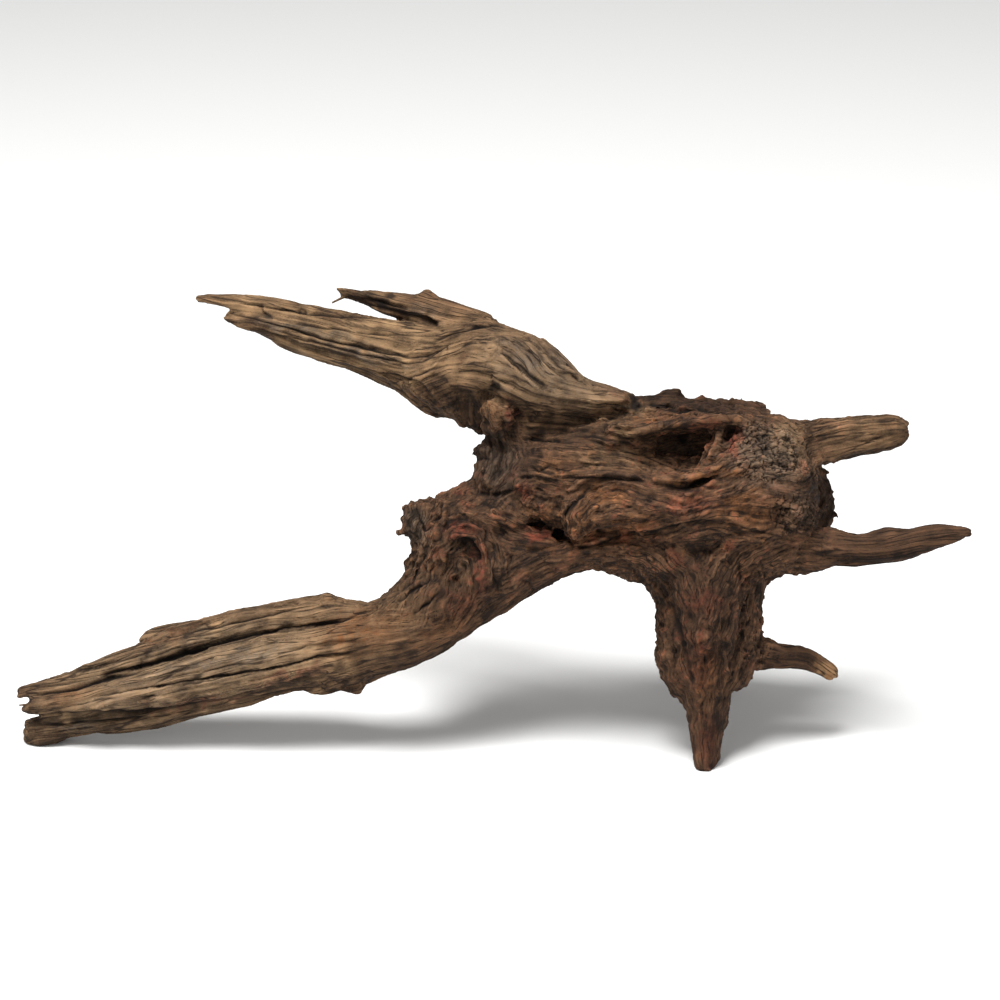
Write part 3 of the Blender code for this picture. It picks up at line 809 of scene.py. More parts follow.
# How the fibres run: across, up and toward, in millimetres, on the front drawing.
FIBRE_RUNS = (
    ((-242, -100, -14), (-195, -90, -10), (-130, -72, -4), (-90, -65, 0), (-60, -62, 6),
     (-34, -58, 14), (-10, -48, 20), (14, -38, 22), (34, -31, 24), (52, -27, 26)),
    ((-238, -117, -17), (-180, -107, -13), (-105, -90, -6), (-66, -80, 0), (-42, -74, 8),
     (-16, -62, 14), (8, -46, 18), (30, -34, 20)),
    ((-182, -71, -22), (-120, -57, -16), (-84, -54, -8), (-62, -52, 2), (-50, -42, 12), (-44, -28, 16),
     (-39, -14, 16), (-34, 0, 14)),
    ((-38, -44, 20), (-31, -26, 26), (-22, -14, 28), (-12, -16, 28), (-7, -28, 26), (-9, -44, 24),
     (-16, -56, 20)),
    ((-28, -50, 22), (-22, -30, 26), (-16, -30, 26), (-14, -44, 24)),
    ((-14, -4, 20), (-2, -10, 24), (10, -16, 26), (28, -20, 28)),
    ((-8, 40, 12), (-6, 20, 12), (-12, 4, 14), (-24, -4, 14)),
    ((2, 38, 12), (8, 20, 20), (0, 6, 22), (-12, -4, 20)),
    ((-153, 102, -34), (-115, 96, -26), (-74, 87, -16), (-52, 82, -8), (-34, 81.5, -1), (-18, 84, 7),
     (4, 82, 12)),
    ((-140, 91, -28), (-100, 84, -18), (-66, 75, -8), (-48, 71, 0), (-33, 72, 7), (-18, 77, 13),
     (-4, 79, 18)),
    ((-121, 85, -26), (-90, 74, -18), (-50, 60, -8), (-32, 46, -4)),
    ((-83, 106, -28), (-57, 99, -22), (-30, 92, -14), (-6, 87, -4), (14, 82, 4)),
    ((-34, 62, 8), (-20, 66, 18), (0, 62, 22), (16, 54, 24), (40, 49, 20), (66, 47, 10)),
    ((-1, 79, 16), (10, 72, 22), (20, 60, 24), (34, 54, 20), (56, 50, 12)),
    ((12, 80, 4), (26, 68, 8), (40, 58, 6), (62, 52, 4)),
    ((0, 40, 12), (20, 38, 20), (44, 36, 26), (66, 32, 34), (90, 39, 32), (116, 41, 26)),
    ((10, 30, 22), (36, 28, 28), (56, 24, 32), (80, 18, 36), (104, 14, 38), (120, 22, 34)),
    ((14, 16, 26), (36, 12, 32), (58, 12, 36), (84, 9, 40), (110, 15, 40), (126, 18, 36)),
    ((66, 46, 2), (90, 46, 0), (116, 44, -4), (134, 40, -4)),
    ((36, -20, 32), (34, -8, 36), (44, 4, 38), (60, 8, 42), (80, 2, 46), (104, 4, 46), (124, 12, 40)),
    ((40, -22, 34), (54, -16, 40), (76, -14, 44), (92, -10, 44), (110, -7, 42), (136, -8, 34),
     (156, -12, 24)),
    ((28, -30, 24), (50, -26, 32), (72, -30, 36), (86, -44, 32), (90, -64, 24), (96, -90, 20)),
    ((160, -22, 14), (136, -24, 28), (120, -34, 30), (112, -54, 26), (106, -80, 22), (102, -120, 14),
     (101, -136, 12)),
    ((74, -40, 20), (80, -60, 16), (84, -80, 16), (96, -104, 18), (99, -130, 12)),
    ((130, -40, 10), (128, -60, 8), (122, -84, 10), (112, -104, 12)),
    ((124, 38, 22), (140, 34, 14), (152, 28, 8), (176, 34, -8), (203, 35, -16)),
    ((118, 18, 34), (138, 10, 30), (152, 12, 18), (162, 20, 0), (184, 26, -12), (203, 32, -18)),
    ((136, -10, 30), (152, -18, 18), (170, -23, 14), (194, -22, 16), (216, -18, 16), (237, -16, 15)),
    ((126, -72, 6), (140, -78, 4), (154, -80, 0), (168, -89, -10)),
    ((150, 14, -22), (158, -2, -32), (146, -19, -42), (128, -34, -52), (112, -60, -70),
     (104, -94, -90)),
    ((10, 24, -26), (50, 28, -36), (95, 22, -40), (142, 20, -30)),
    ((16, -10, -26), (60, -14, -34), (105, -8, -40), (146, -12, -28)),
    ((-60, -60, -16), (-30, -46, -16), (0, -30, -16), (20, -12, -22)),
    ((-40, 64, -20), (-10, 66, -18), (20, 58, -14), (60, 46, -14)),
)

# The wood's folds, cracks and knots on the side that is seen, in millimetres on the front drawing.
LOWER_LEFT_LIMB = strokes(
    (GROOVE, ((-200, -88.5), (-186, -84.5), (-173, -81.5), (-160, -77.5), (-146, -73.5)), 1.0, 2.3),
    (GROOVE, ((-158, -76.5), (-135, -70.5), (-115, -65.7), (-95, -62.7), (-80, -60.7), (-70, -57),
              (-62, -55)), 0.55, 1.2),
    (LEDGE, ((-200, -87), (-173, -80.5), (-155, -74), (-135, -69), (-115, -64.5), (-95, -61.5),
             (-78, -59.5)), 1.0, 0.8),
    (GROOVE, ((-205, -99), (-188, -95.5), (-170, -93), (-150, -89.5), (-128, -86.5), (-107, -83),
              (-95, -79), (-82, -77), (-71, -76.3)), 0.77, 1.8),
    (LEDGE, ((-237, -108), (-222, -106), (-204, -105), (-182, -105), (-160, -102), (-139, -99),
             (-118, -93.5), (-97, -88), (-88, -88), (-80, -91.5)), 2.2, 2.2),
    (GROOVE, ((-180, -71.5), (-158, -66.5), (-135, -62), (-112, -56.5), (-90, -52)), 0.72, 1.4),
    (GROOVE, ((-172, -90), (-150, -86), (-120, -79.5), (-96, -73), (-78, -70)), 0.63, 0.9),
    (GROOVE, ((-232, -97.5), (-212, -94.5), (-196, -89.5), (-178, -85.5)), 0.77, 1.5),
    (GROOVE, ((-212, -86), (-196, -82), (-180, -77.5), (-162, -72)), 0.68, 1),
    (GROOVE, ((-226, -93), (-214, -91), (-203, -89)), 0.63, 0.9),
    (GROOVE, ((-196, -101.5), (-176, -98.5), (-154, -94.5), (-134, -91.5)), 0.59, 0.9),
    (GROOVE, ((-160, -97.5), (-140, -94.5), (-120, -90), (-104, -85)), 0.59, 0.75),
    (GROOVE, ((-150, -81.5), (-130, -77.5), (-112, -73), (-96, -69.5)), 0.59, 0.68),
    (GROOVE, ((-230, -113), (-212, -111), (-194, -110), (-176, -108)), 0.68, 0.98),
    (RIDGE, ((-186, -72), (-160, -64), (-130, -57), (-100, -50), (-86, -47)), 1.2, 1.1),
    (RIDGE, ((-190, -92), (-170, -87), (-150, -79.5), (-140, -77)), 1.3, 1.2),
    (LUMP, ((-86, -48.5),), 4.0, 1.8, 3.0),
    (LUMP, ((-140, -79.5),), 5.0, 1.4, 2.2, 20),
    (PIT, ((-144.5, -78.5),), 2.2, 1.2, 1.6),
    (PIT, ((-127, -79),), 1.2, 1.2, 1.0),
)
UPPER_LEFT_LIMB = strokes(
    (GROOVE, ((-140, 95), (-120, 90.5), (-100, 84), (-85, 79.5), (-70, 76.5), (-55, 73.5), (-40, 71)),
     0.9, 2),
    (LEDGE, ((-2, 79.5), (-16, 79.5), (-25, 77.5), (-30, 74), (-34, 71), (-40, 71)), 1.3, 2.4),
    (GROOVE, ((-34, 79), (-28, 82), (-20, 84.5), (-12, 86.5), (-4, 88), (4, 86.5)), 0.9, 1.8),
    (LEDGE, ((-78, 68), (-60, 64), (-50, 62.5), (-41, 60), (-36, 55), (-33, 50)), 1.2, 1.8),
    (GROOVE, ((-137, 101), (-116, 96), (-98, 93.5), (-80, 92), (-60, 91)), 0.77, 1.5),
    (GROOVE, ((-124, 86), (-105, 81), (-88, 77.5), (-70, 73), (-52, 69), (-40, 67)), 0.72, 1.4),
    (GROOVE, ((-112, 90), (-90, 86.5), (-60, 83), (-38, 82)), 0.72, 1.2),
    (GROOVE, ((-80, 88.5), (-60, 86.5), (-45, 84)), 0.63, 0.9),
    (GROOVE, ((-100, 78.5), (-82, 73), (-64, 68.5), (-50, 65)), 0.63, 0.9),
    (GROOVE, ((-84, 68), (-66, 60.5), (-50, 53)), 0.63, 0.75),
    (LEDGE, ((-119, 98), (-118, 94), (-113, 91)), 1.1, 1.4),
    (PIT, ((-98.5, 95),), 2.6, 2.6, 1.0),
    (RIDGE, ((-40, 65), (-34, 65.5), (-30, 69.5), (-26.5, 74)), 1.1, 1.3),
    (RIDGE, ((-30, 62), (-20, 65), (-10, 70), (-5, 71)), 1.8, 1.1),
    (GROOVE, ((-50, 98), (-40, 95.5), (-30, 93), (-20, 91)), 0.72, 1),
    (GROOVE, ((-72, 103), (-58, 98.5), (-46, 95.5)), 0.63, 0.9),
    (LUMP, ((-38, 101),), 4.0, 1.8, 5.0),
    (LEDGE, ((-76, 102), (-62, 100), (-50, 98), (-40, 94), (-32.5, 89.5), (-27.5, 84)), 2.0, 1.5),
)
SHOULDER = strokes(
    (LEDGE, ((22, 54), (12, 63), (4, 69.5), (0, 75)), 1.5, 2.2),
    (GROOVE, ((4, 72), (12, 66), (18, 60.5), (24, 55)), 0.78, 1.2),
    (GROOVE, ((10, 78), (19, 72), (28, 64), (36, 58)), 0.86, 1),
    (LEDGE, ((19, 84), (22, 77), (30, 68), (40, 60), (50, 56)), 1.3, 1.6),
    (GROOVE, ((0, 84), (12, 80), (20, 73), (26, 66)), 0.7, 0.64),
    (GROOVE, ((-8, 66), (-5, 72), (0, 76)), 0.62, 0.46),
    (PIT, ((-2.5, 56.5),), 3.4, 2.2, 2.8),
    (GROOVE, ((-3, 66), (-4.5, 61), (-2.5, 57)), 0.7, 0.7),
    (PIT, ((-17, 49),), 6.5, 2.4, 8.0, 20),
    (GROOVE, ((5, 44), (10, 42.5), (20, 43.5), (30, 42), (40, 40.5), (50, 39.5), (58, 41), (63, 47)),
     0.78, 0.93),
    (PIT, ((67, 48),), 5.0, 4.2, 3.8, -20),
    (RIDGE, ((67, 46), (71, 49.5), (72, 47)), 0.9, 1.0),
)
CROWN_LEFT = strokes(
    (GROOVE, ((-10, 50), (-9, 42), (-5, 36), (2, 34)), 1, 1),
    (GROOVE, ((-6, 35), (-4, 25), (-8, 15), (-11, 7)), 0.78, 0.93),
    (GROOVE, ((-1.5, 34), (1.5, 24), (-1.5, 14), (-5, 5)), 0.78, 0.93),
    (GROOVE, ((4, 31), (6, 22), (4, 12), (0, 4)), 0.78, 0.81),
    (RIDGE, ((-16, 22), (-9, 25), (-3.5, 24)), 1.7, 2.0),
    (GROOVE, ((-16, 19), (-9, 21), (-3.5, 20)), 0.86, 1),
    (GROOVE, ((12, 30.5), (22, 30), (32, 29.5)), 0.7, 1.4),
    (GROOVE, ((14, 17), (20, 14), (25, 17)), 0.7, 1.2),
    (GROOVE, ((14, 24.5), (20, 21.5), (25, 21)), 0.7, 0.93),
    (LEDGE, ((10, 11), (18, 12.5), (24, 10.5), (30, 12)), 1.4, 1.6),
    (RIDGE, ((32, 14), (40, 14.5), (50, 13), (60, 12.5), (72, 11)), 1.2, 1.6),
    (GROOVE, ((32, 11), (50, 10.5), (62, 10), (74, 9)), 0.78, 1.3),
    (GROOVE, ((36, 25), (50, 25.5), (62, 24), (76, 22)), 0.62, 0.7),
    (GROOVE, ((30, 19), (50, 17.5), (62, 17), (75, 16.5)), 0.62, 0.7),
    (GROOVE, ((34, 32), (46, 32), (56, 30), (68, 27)), 0.7, 0.93),
    (LEDGE, ((8, 36), (24, 36.5), (40, 35), (54, 33)), 1.6, 1.4),
    (GROOVE, ((54, 33.5), (61, 31), (68, 30)), 0.94, 1.4),
    (LUMP, ((28, 20),), 4.0, 1.2, 3.4),
)
HOLLOW = strokes(
    (RIDGE, ((60, 31.5), (72, 35), (82, 37.5), (92, 38.5), (102, 40), (112, 41), (121, 40)), 1.5, 1.8),
    (PIT, ((84, 19.5),), 24.0, 4.0, 6.5, -3),
    (PIT, ((115, 32.5),), 2.8, 2.2, 6.0, -35),
    (RIDGE, ((121, 38), (117, 30), (112.5, 22.5), (111, 17)), 1.4, 1.4),
    (GROOVE, ((75, 20), (75.5, 12)), 0.7, 0.7),
    (RIDGE, ((76, 10.5), (90, 10), (100, 12.5), (110, 16.5)), 1.0, 1.6),
    (GROOVE, ((83, 7), (93, 6), (101.5, 9), (109, 12.5)), 0.8, 1.4),
    (GROOVE, ((108, 37), (106, 30), (103, 23), (97, 17.5)), 0.8, 1.2),
    (RIDGE, ((86, 3.8), (93, 2.4), (100, 5), (107.5, 9.5), (117.5, 14.5), (124, 16)), 1.1, 1.5),
    (PIT, ((96, -1.5),), 11.0, 1.4, 5.0),
    (RIDGE, ((83, 0), (86, -6), (93, -8.5), (102.5, -6.5), (109, -1.5)), 1.0, 1.0),
    (LEDGE, ((60, -15.5), (72, -15.5), (80, -14.5), (92, -11), (102, -9.5), (112, -11.5)), 1.8, 2.0),
    (LEDGE, ((111, -18.5), (120, -15.5), (132, -15.5), (148, -20)), 1.6, 1.6),
    (GROOVE, ((118, -5), (132, -4.5), (145, -5), (156, -4.5)), 0.7, 0.7),
    (PIT, ((146, -18.5),), 3.4, 2.0, 1.8),
)
TOP_BAND = strokes(
    (GROOVE, ((70, 49), (80, 47), (90, 44.5), (98, 46), (106, 44), (121, 44)), 1.4, 1.5),
    (RIDGE, ((70, 46.5), (80, 43.5), (90, 41.5), (98, 43.5), (104, 41.5), (122, 41.5)), 1.0, 1.4),
    (GROOVE, ((140, 40), (148, 33), (153, 25), (155, 14), (158, 2)), 1.1, 0.81),
    (RIDGE, ((138, 36), (145, 30), (151, 24), (154, 16), (156, 6)), 1.1, 1.2),
    (GROOVE, ((154, 40), (162, 38.5), (169, 40)), 0.94, 0.93),
    (GROOVE, ((170, 30), (184, 29), (196, 32.5), (204, 35)), 0.62, 0.81),
)
ROLL = strokes(
    (GROOVE, ((45, 6.5), (37.5, -0.5), (32, -8), (32, -16.5), (37, -23)), 1.2, 2),
    (LEDGE, ((37, -23.5), (50, -21), (60, -16)), 1.5, 2.0),
    (RIDGE, ((45, 4.5), (50, 7.5), (57, 9), (70, 6.5), (82, 4)), 1.1, 1.4),
    (GROOVE, ((48, 3), (58, 5), (70, 2.5)), 0.62, 0.7),
    (GROOVE, ((42, 0), (52, 1.5), (62, 0)), 0.62, 0.58),
    (PIT, ((29.5, -17),), 3.2, 3.0, 2.6),
    (GROOVE, ((13, -12.5), (20, -11.5), (26, -14)), 0.86, 1.7),
    (PIT, ((20, -17),), 7.5, 1.8, 3.6),
    (RIDGE, ((12, -22.5), (22, -24), (30, -22.5)), 1.2, 1.2),
    (RIDGE, ((13, -7), (22, -5.5), (31, -8.5)), 2.0, 1.6),
    (GROOVE, ((-10, -5), (0, -7), (12, -9.5)), 0.55, 0.58),
    (GROOVE, ((-10, -9.5), (0, -13), (10, -17)), 0.55, 0.58),
    (GROOVE, ((-8, -13), (0, -17), (6, -21)), 0.55, 0.58),
    (LEDGE, ((-14, 4), (-4, 3), (6, 5), (14, 8)), 1.6, 1.4),
)
KNOT = strokes(
    (GROOVE, ((-22, -21), (-18.5, -19.75), (-15.5, -20.5), (-13, -23), (-11, -26.5), (-10.5, -30)),
     1, 2.3),
    (GROOVE, ((-18.5, -30), (-16.5, -38), (-15.5, -46), (-13.5, -53)), 0.47, 0.52),
    (GROOVE, ((-16, -28), (-13.5, -37), (-12.5, -46), (-11.5, -52)), 0.47, 0.52),
    (PIT, ((-23, -41),), 3.2, 2.4, 6.0, 8),
    (RIDGE, ((-11, -30), (-8, -36.5), (-7, -44), (-9.5, -52)), 1.6, 1.6),
    (GROOVE, ((-3.5, -31), (-2.5, -39), (0, -47)), 1.2, 1.5),
    (RIDGE, ((-6, -28), (-1, -34), (1, -42), (3, -48)), 1.4, 1.2),
    (GROOVE, ((10, -39), (15, -42), (18, -47)), 0.94, 1),
    (LUMP, ((-39, -9),), 8.0, 1.6, 9.5),
    (GROOVE, ((-42, -4), (-40, -10), (-37.5, -15), (-32.5, -11.5)), 0.78, 1.4),
    (GROOVE, ((-29, -1), (-29.5, -8), (-34, -10.5)), 0.78, 1.4),
    (RIDGE, ((-27.5, 0), (-28, -10), (-29, -19)), 1.2, 1.4),
    (GROOVE, ((-25, -2), (-25.5, -10), (-27, -18)), 0.62, 0.7),
    (GROOVE, ((-30, -46), (-36.5, -52), (-43, -57)), 0.94, 1.6),
    (GROOVE, ((-34, -39), (-44, -45.5), (-51, -51)), 0.86, 1.5),
    (GROOVE, ((-35, -24), (-40.5, -32.5), (-43.5, -40), (-50, -46)), 0.78, 1.4),
    (GROOVE, ((-41, -25), (-45, -36), (-49, -42)), 0.7, 1.2),
    (GROOVE, ((-31, -30), (-35, -37), (-38, -46)), 0.7, 1),
)
LEG = strokes(
    (RIDGE, ((100, -50), (104, -70), (106, -88), (107, -100), (106, -130)), 2.6, 1.6),
    (GROOVE, ((84, -46), (88, -60), (92, -74), (96, -90)), 1.7, 1.4),
    (GROOVE, ((119, -30), (122, -50), (120, -65), (124, -80)), 0.94, 1),
    (GROOVE, ((130, -30), (134, -42), (132, -52)), 0.86, 1.2),
    (GROOVE, ((110, -56), (113, -72), (116, -86), (112, -98)), 1.1, 0.93),
    (GROOVE, ((136, -58), (132, -66), (128, -76)), 0.94, 1),
    (PIT, ((132, -79),), 3.0, 2.6, 4.0, 30),
    (LUMP, ((119, -92),), 7.0, 1.8, 4.0, 30),
    (GROOVE, ((103, -104), (102, -118), (102, -130)), 1.1, 0.7),
    (GROOVE, ((140, -79), (150, -79), (160, -82)), 0.55, 0.58),
    (GROOVE, ((140, -74), (150, -74), (160, -77)), 0.55, 0.46),
)
STROKES = (LOWER_LEFT_LIMB + UPPER_LEFT_LIMB + SHOULDER + CROWN_LEFT + HOLLOW + TOP_BAND + ROLL + KNOT + LEG)

# Small raised forms on the side that is seen: across, up and radius, in millimetres.
STRANDS = (
    # The arched knot: its rim, its column and the fold on its left.
    Strand(((-26.5, -28, 1.5), (-26, -21.5, 2.3), (-23, -16.5, 2.7), (-19, -13.5, 2.7),
            (-15, -11.5, 2.3), (-12, -15, 2.3), (-9.5, -20.5, 2.2), (-8, -27, 2.0), (-7, -35, 1.8),
            (-7.5, -44, 1.6), (-9.5, -51.5, 1.0)), 0.4),
    Strand(((-20.5, -25.5, 2.4), (-17, -31, 3.2), (-15.5, -38, 3.0), (-14.5, -45, 2.6),
            (-12, -52, 1.5)), 0.0),
    Strand(((-25, -25, 1.8), (-28.5, -31, 2.4), (-30, -39, 2.2), (-31.5, -46, 1.5)), -0.2),
    # The left knob's rim and nub.
    Strand(((-28, 0, 1.2), (-27.5, -8, 1.6), (-29, -17, 1.4), (-36, -21, 1.2)), 0.2),
    Strand(((-43, -10, 1.6), (-42, -17, 1.8), (-38, -21, 1.2)), 0.2),
    Strand(((-42, -14.5, 3.2), (-47.5, -15.8, 2.8), (-52, -16.8, 2.0)), -0.6),
    # The wood under the shoulder, the broken stub and the torn flake at the crown's left.
    Strand(((-2, 42, 3.5), (4, 42.5, 5.0), (12, 42.5, 5.5), (22, 41.5, 5.5), (34, 39.5, 5.0),
            (46, 38, 4.0)), 0.0, (8.5, 8.5)),
    Strand(((2, 35, 4.0), (10, 35.5, 6.0), (20, 35, 6.5), (32, 34, 5.5), (42, 33, 4.0)),
           0.0, (9.0, 9.0)),
    Strand(((2, 28.5, 3.5), (10, 29, 4.5), (20, 29, 4.5), (30, 29, 3.5)), 0.0, (10.0, 10.0)),
    Strand(((70, 25, 5.0), (79, 25, 7.0), (89, 25, 8.0), (98, 24, 7.5), (106, 23, 5.5)),
           0.0, (13.0, 13.0)),
    Strand(((72, 30, 5.0), (84, 31, 6.5), (96, 31, 6.5), (106, 30, 4.5)), 0.0, (11.0, 11.0)),
    Strand(((58, 30, 3.5), (66, 28.5, 6.0), (74, 27.5, 7.0), (82, 27, 6.0), (89, 27, 3.0)),
           0.0, (28.0, 10.0)),
    Strand(((60, 21, 5.0), (71, 19.5, 7.0), (84, 18.0, 8.0), (96, 18.0, 7.0), (106, 20, 5.0)),
           0.0, (27.5, 19.0)),
    Strand(((-1.0, 35, 3.4), (-2.5, 42, 5.0), (-4, 48.5, 4.2), (-4.6, 51.5, 2.6)), 2.2),
    Strand(((5.5, 36.0, 2.8), (4.2, 42.0, 4.4), (1.4, 48.0, 3.8)), 0.0, (17.0, 20.0)),
    Strand(((0.5, 22, 2.0), (0, 27, 3.0), (-0.5, 33, 3.4)), 0.6),
    Strand(((-7.0, 49.0, 1.6), (-9.0, 44.5, 2.8), (-7.5, 38.5, 1.8)), 0.6),
    Strand(((-11, 48.5, 1.1), (-11.8, 44, 1.6), (-10, 39.5, 1.1)), 0.8),
    Strand(((-1, 26, 2.4), (-7.5, 25, 2.4), (-12, 23.5, 1.7), (-16.5, 21.8, 0.9)), 0.8),
    Strand(((-3, 18, 1.6), (-8, 16, 1.5), (-12, 13, 0.9)), 0.4),
    # The flap and the two lips over the hollow, the twisted fold in it, and the slit's lips.
    Strand(((54, 35, 1.1), (58, 37, 1.9), (63, 37, 2.1), (69, 33.5, 1.1)), 0.9),
    Strand(((70, 34, 1.2), (77, 36, 1.7), (85, 37.5, 1.9), (95, 38, 1.8), (103, 39.5, 2.0),
            (112, 40.5, 2.0), (120, 40, 1.4)), 0.3),
    Strand(((106, 41, 3.6), (110, 35, 5.0), (109.5, 28, 5.8), (105, 20.5, 5.6), (97, 14.5, 3.2)),
           0.0, (26.0, 33.5)),
    Strand(((77, 10.5, 0.9), (90, 9.8, 1.3), (100, 11.6, 1.4), (110, 15.8, 1.1)), 0.3),
    Strand(((85, 4.5, 1.1), (93, 2.4, 1.6), (101, 5, 1.6), (109, 10.2, 1.3), (117, 14.3, 1.3),
            (124, 16.5, 0.9)), 0.2),
    # The bark that stands up along the top.
    Strand(((79, 50, 1.8), (80.5, 53.5, 2.0), (85, 54.5, 2.4), (89.5, 54.8, 1.8), (92, 51, 1.4)), -0.5),
    Strand(((119, 45, 2.6), (120.5, 49.5, 2.4), (121.5, 52.5, 1.6)), -0.5),
    Strand(((125, 46, 2.6), (128.5, 49, 2.6), (132, 46, 2.4), (136.5, 41, 1.8)), -0.4),
    Strand(((96, 48, 1.8), (101, 50.8, 1.6), (107, 49.5, 1.4)), -0.3),
    Strand(((64, 54, 1.3), (67, 52, 1.6), (71, 50.3, 1.0)), -0.2),
    Strand(((70, 47, 1.0), (80, 43.2, 1.3), (90, 41.4, 1.2), (97, 43.4, 1.5), (103, 41, 1.2)), 0.3),
    # The rounded root across the front.
    Strand(((40, -12, 7.5), (45, -8, 9.5), (52, -5, 10.5), (62, -4, 9.5), (76, -4, 7.0)), -4.5),
    Strand(((44, 3.5, 1.0), (50, 6.8, 1.5), (57, 8.2, 1.5), (66, 6.5, 1.3), (76, 4.5, 1.0)), 0.3),
    # The long edges on the crown's left half.
    Strand(((32, 13.5, 1.0), (42, 13.6, 1.4), (56, 12.6, 1.3), (70, 10.8, 0.9)), 0.2),
    Strand(((14, -7, 1.2), (22, -5.6, 1.8), (31, -8.4, 1.2)), 0.3),
    # Torn splinters on the left edge of the crown and the left root.
    Strand(((-5, 32, 1.8), (-10, 32.5, 1.5), (-14, 30.5, 1.0)), 0.0),
    Strand(((-4, 10, 1.8), (-9, 9, 1.5), (-13, 6, 1.0)), 0.0),
    Strand(((-14, 38, 1.8), (-17, 40.5, 1.4), (-20.5, 43, 1.0)), -0.3),
    Strand(((-20, 47, 1.8), (-25, 46.5, 1.5), (-29, 47.5, 1.0)), -0.3),
    Strand(((-40, -28, 1.8), (-44, -31, 1.5), (-47, -36, 1.0)), 0.0),
    Strand(((-43, -38, 1.8), (-48, -41, 1.5), (-52, -46, 1.0)), 0.0),
    # The torn pieces behind the crown's right end.
    Strand(((158, 15, 2.6), (164, 13.5, 2.2), (169, 10.0, 1.5)), -0.4),
    Strand(((160, 6, 2.4), (165, 4.0, 2.0), (169.5, 4.6, 1.3)), -0.4),
    Strand(((161, -1, 2.6), (166, -4, 2.2), (169, -8.5, 1.9), (171.5, -13.5, 1.3)), -0.4),
    # The spur's root and the ragged ledge over the foot.
    Strand(((122, -66, 1.6), (127, -72, 2.2), (135, -77, 2.6), (142, -77, 1.8)), 0.2),
    Strand(((108, -98, 1.4), (115, -93, 2.2), (122, -90, 2.0), (125, -88, 1.0)), 0.2),
    Strand(((-92, -50, 1.2), (-86, -47.5, 1.7), (-81, -51, 1.1)), 0.0),
)

# Thin splinters that stand out of two limbs, by the solid that they grow from.
SPLINTERS = {
    "upper_prong": (Strand(((-72, 103.8, 1.0), (-78, 101.5, 0.7), (-84, 98.6, 0.45)),
                           0.0, (-26.5, -26.5)),),
    "lower_left_limb": (Strand(((-222, -101.3, 1.0), (-232, -102, 0.7), (-240.5, -102.6, 0.4)),
                               0.0, (-8.5, -8.5)),),
}

# Where the bark is torn and stands out in flakes.
TORN_BARK = patches(
    (-44, -34, 12, 24, -25), (-34, -8, 12, 14), (-10, 22, 12, 26), (-12, 42, 12, 12), (100, 48, 36, 8),
    (78, -64, 9, 34, 0), (126, -66, 10, 30, 0), (163, 2, 8, 22, 0), (40, -36, 42, 8, 8, 0.8),
    (20, 2, 18, 12, 0, 0.6), (130, 40, 10, 8, 0, 0.8), (146, -12, 10, 10, 0, 0.8),
    (68, 47, 10, 7, 0, 0.8),
)

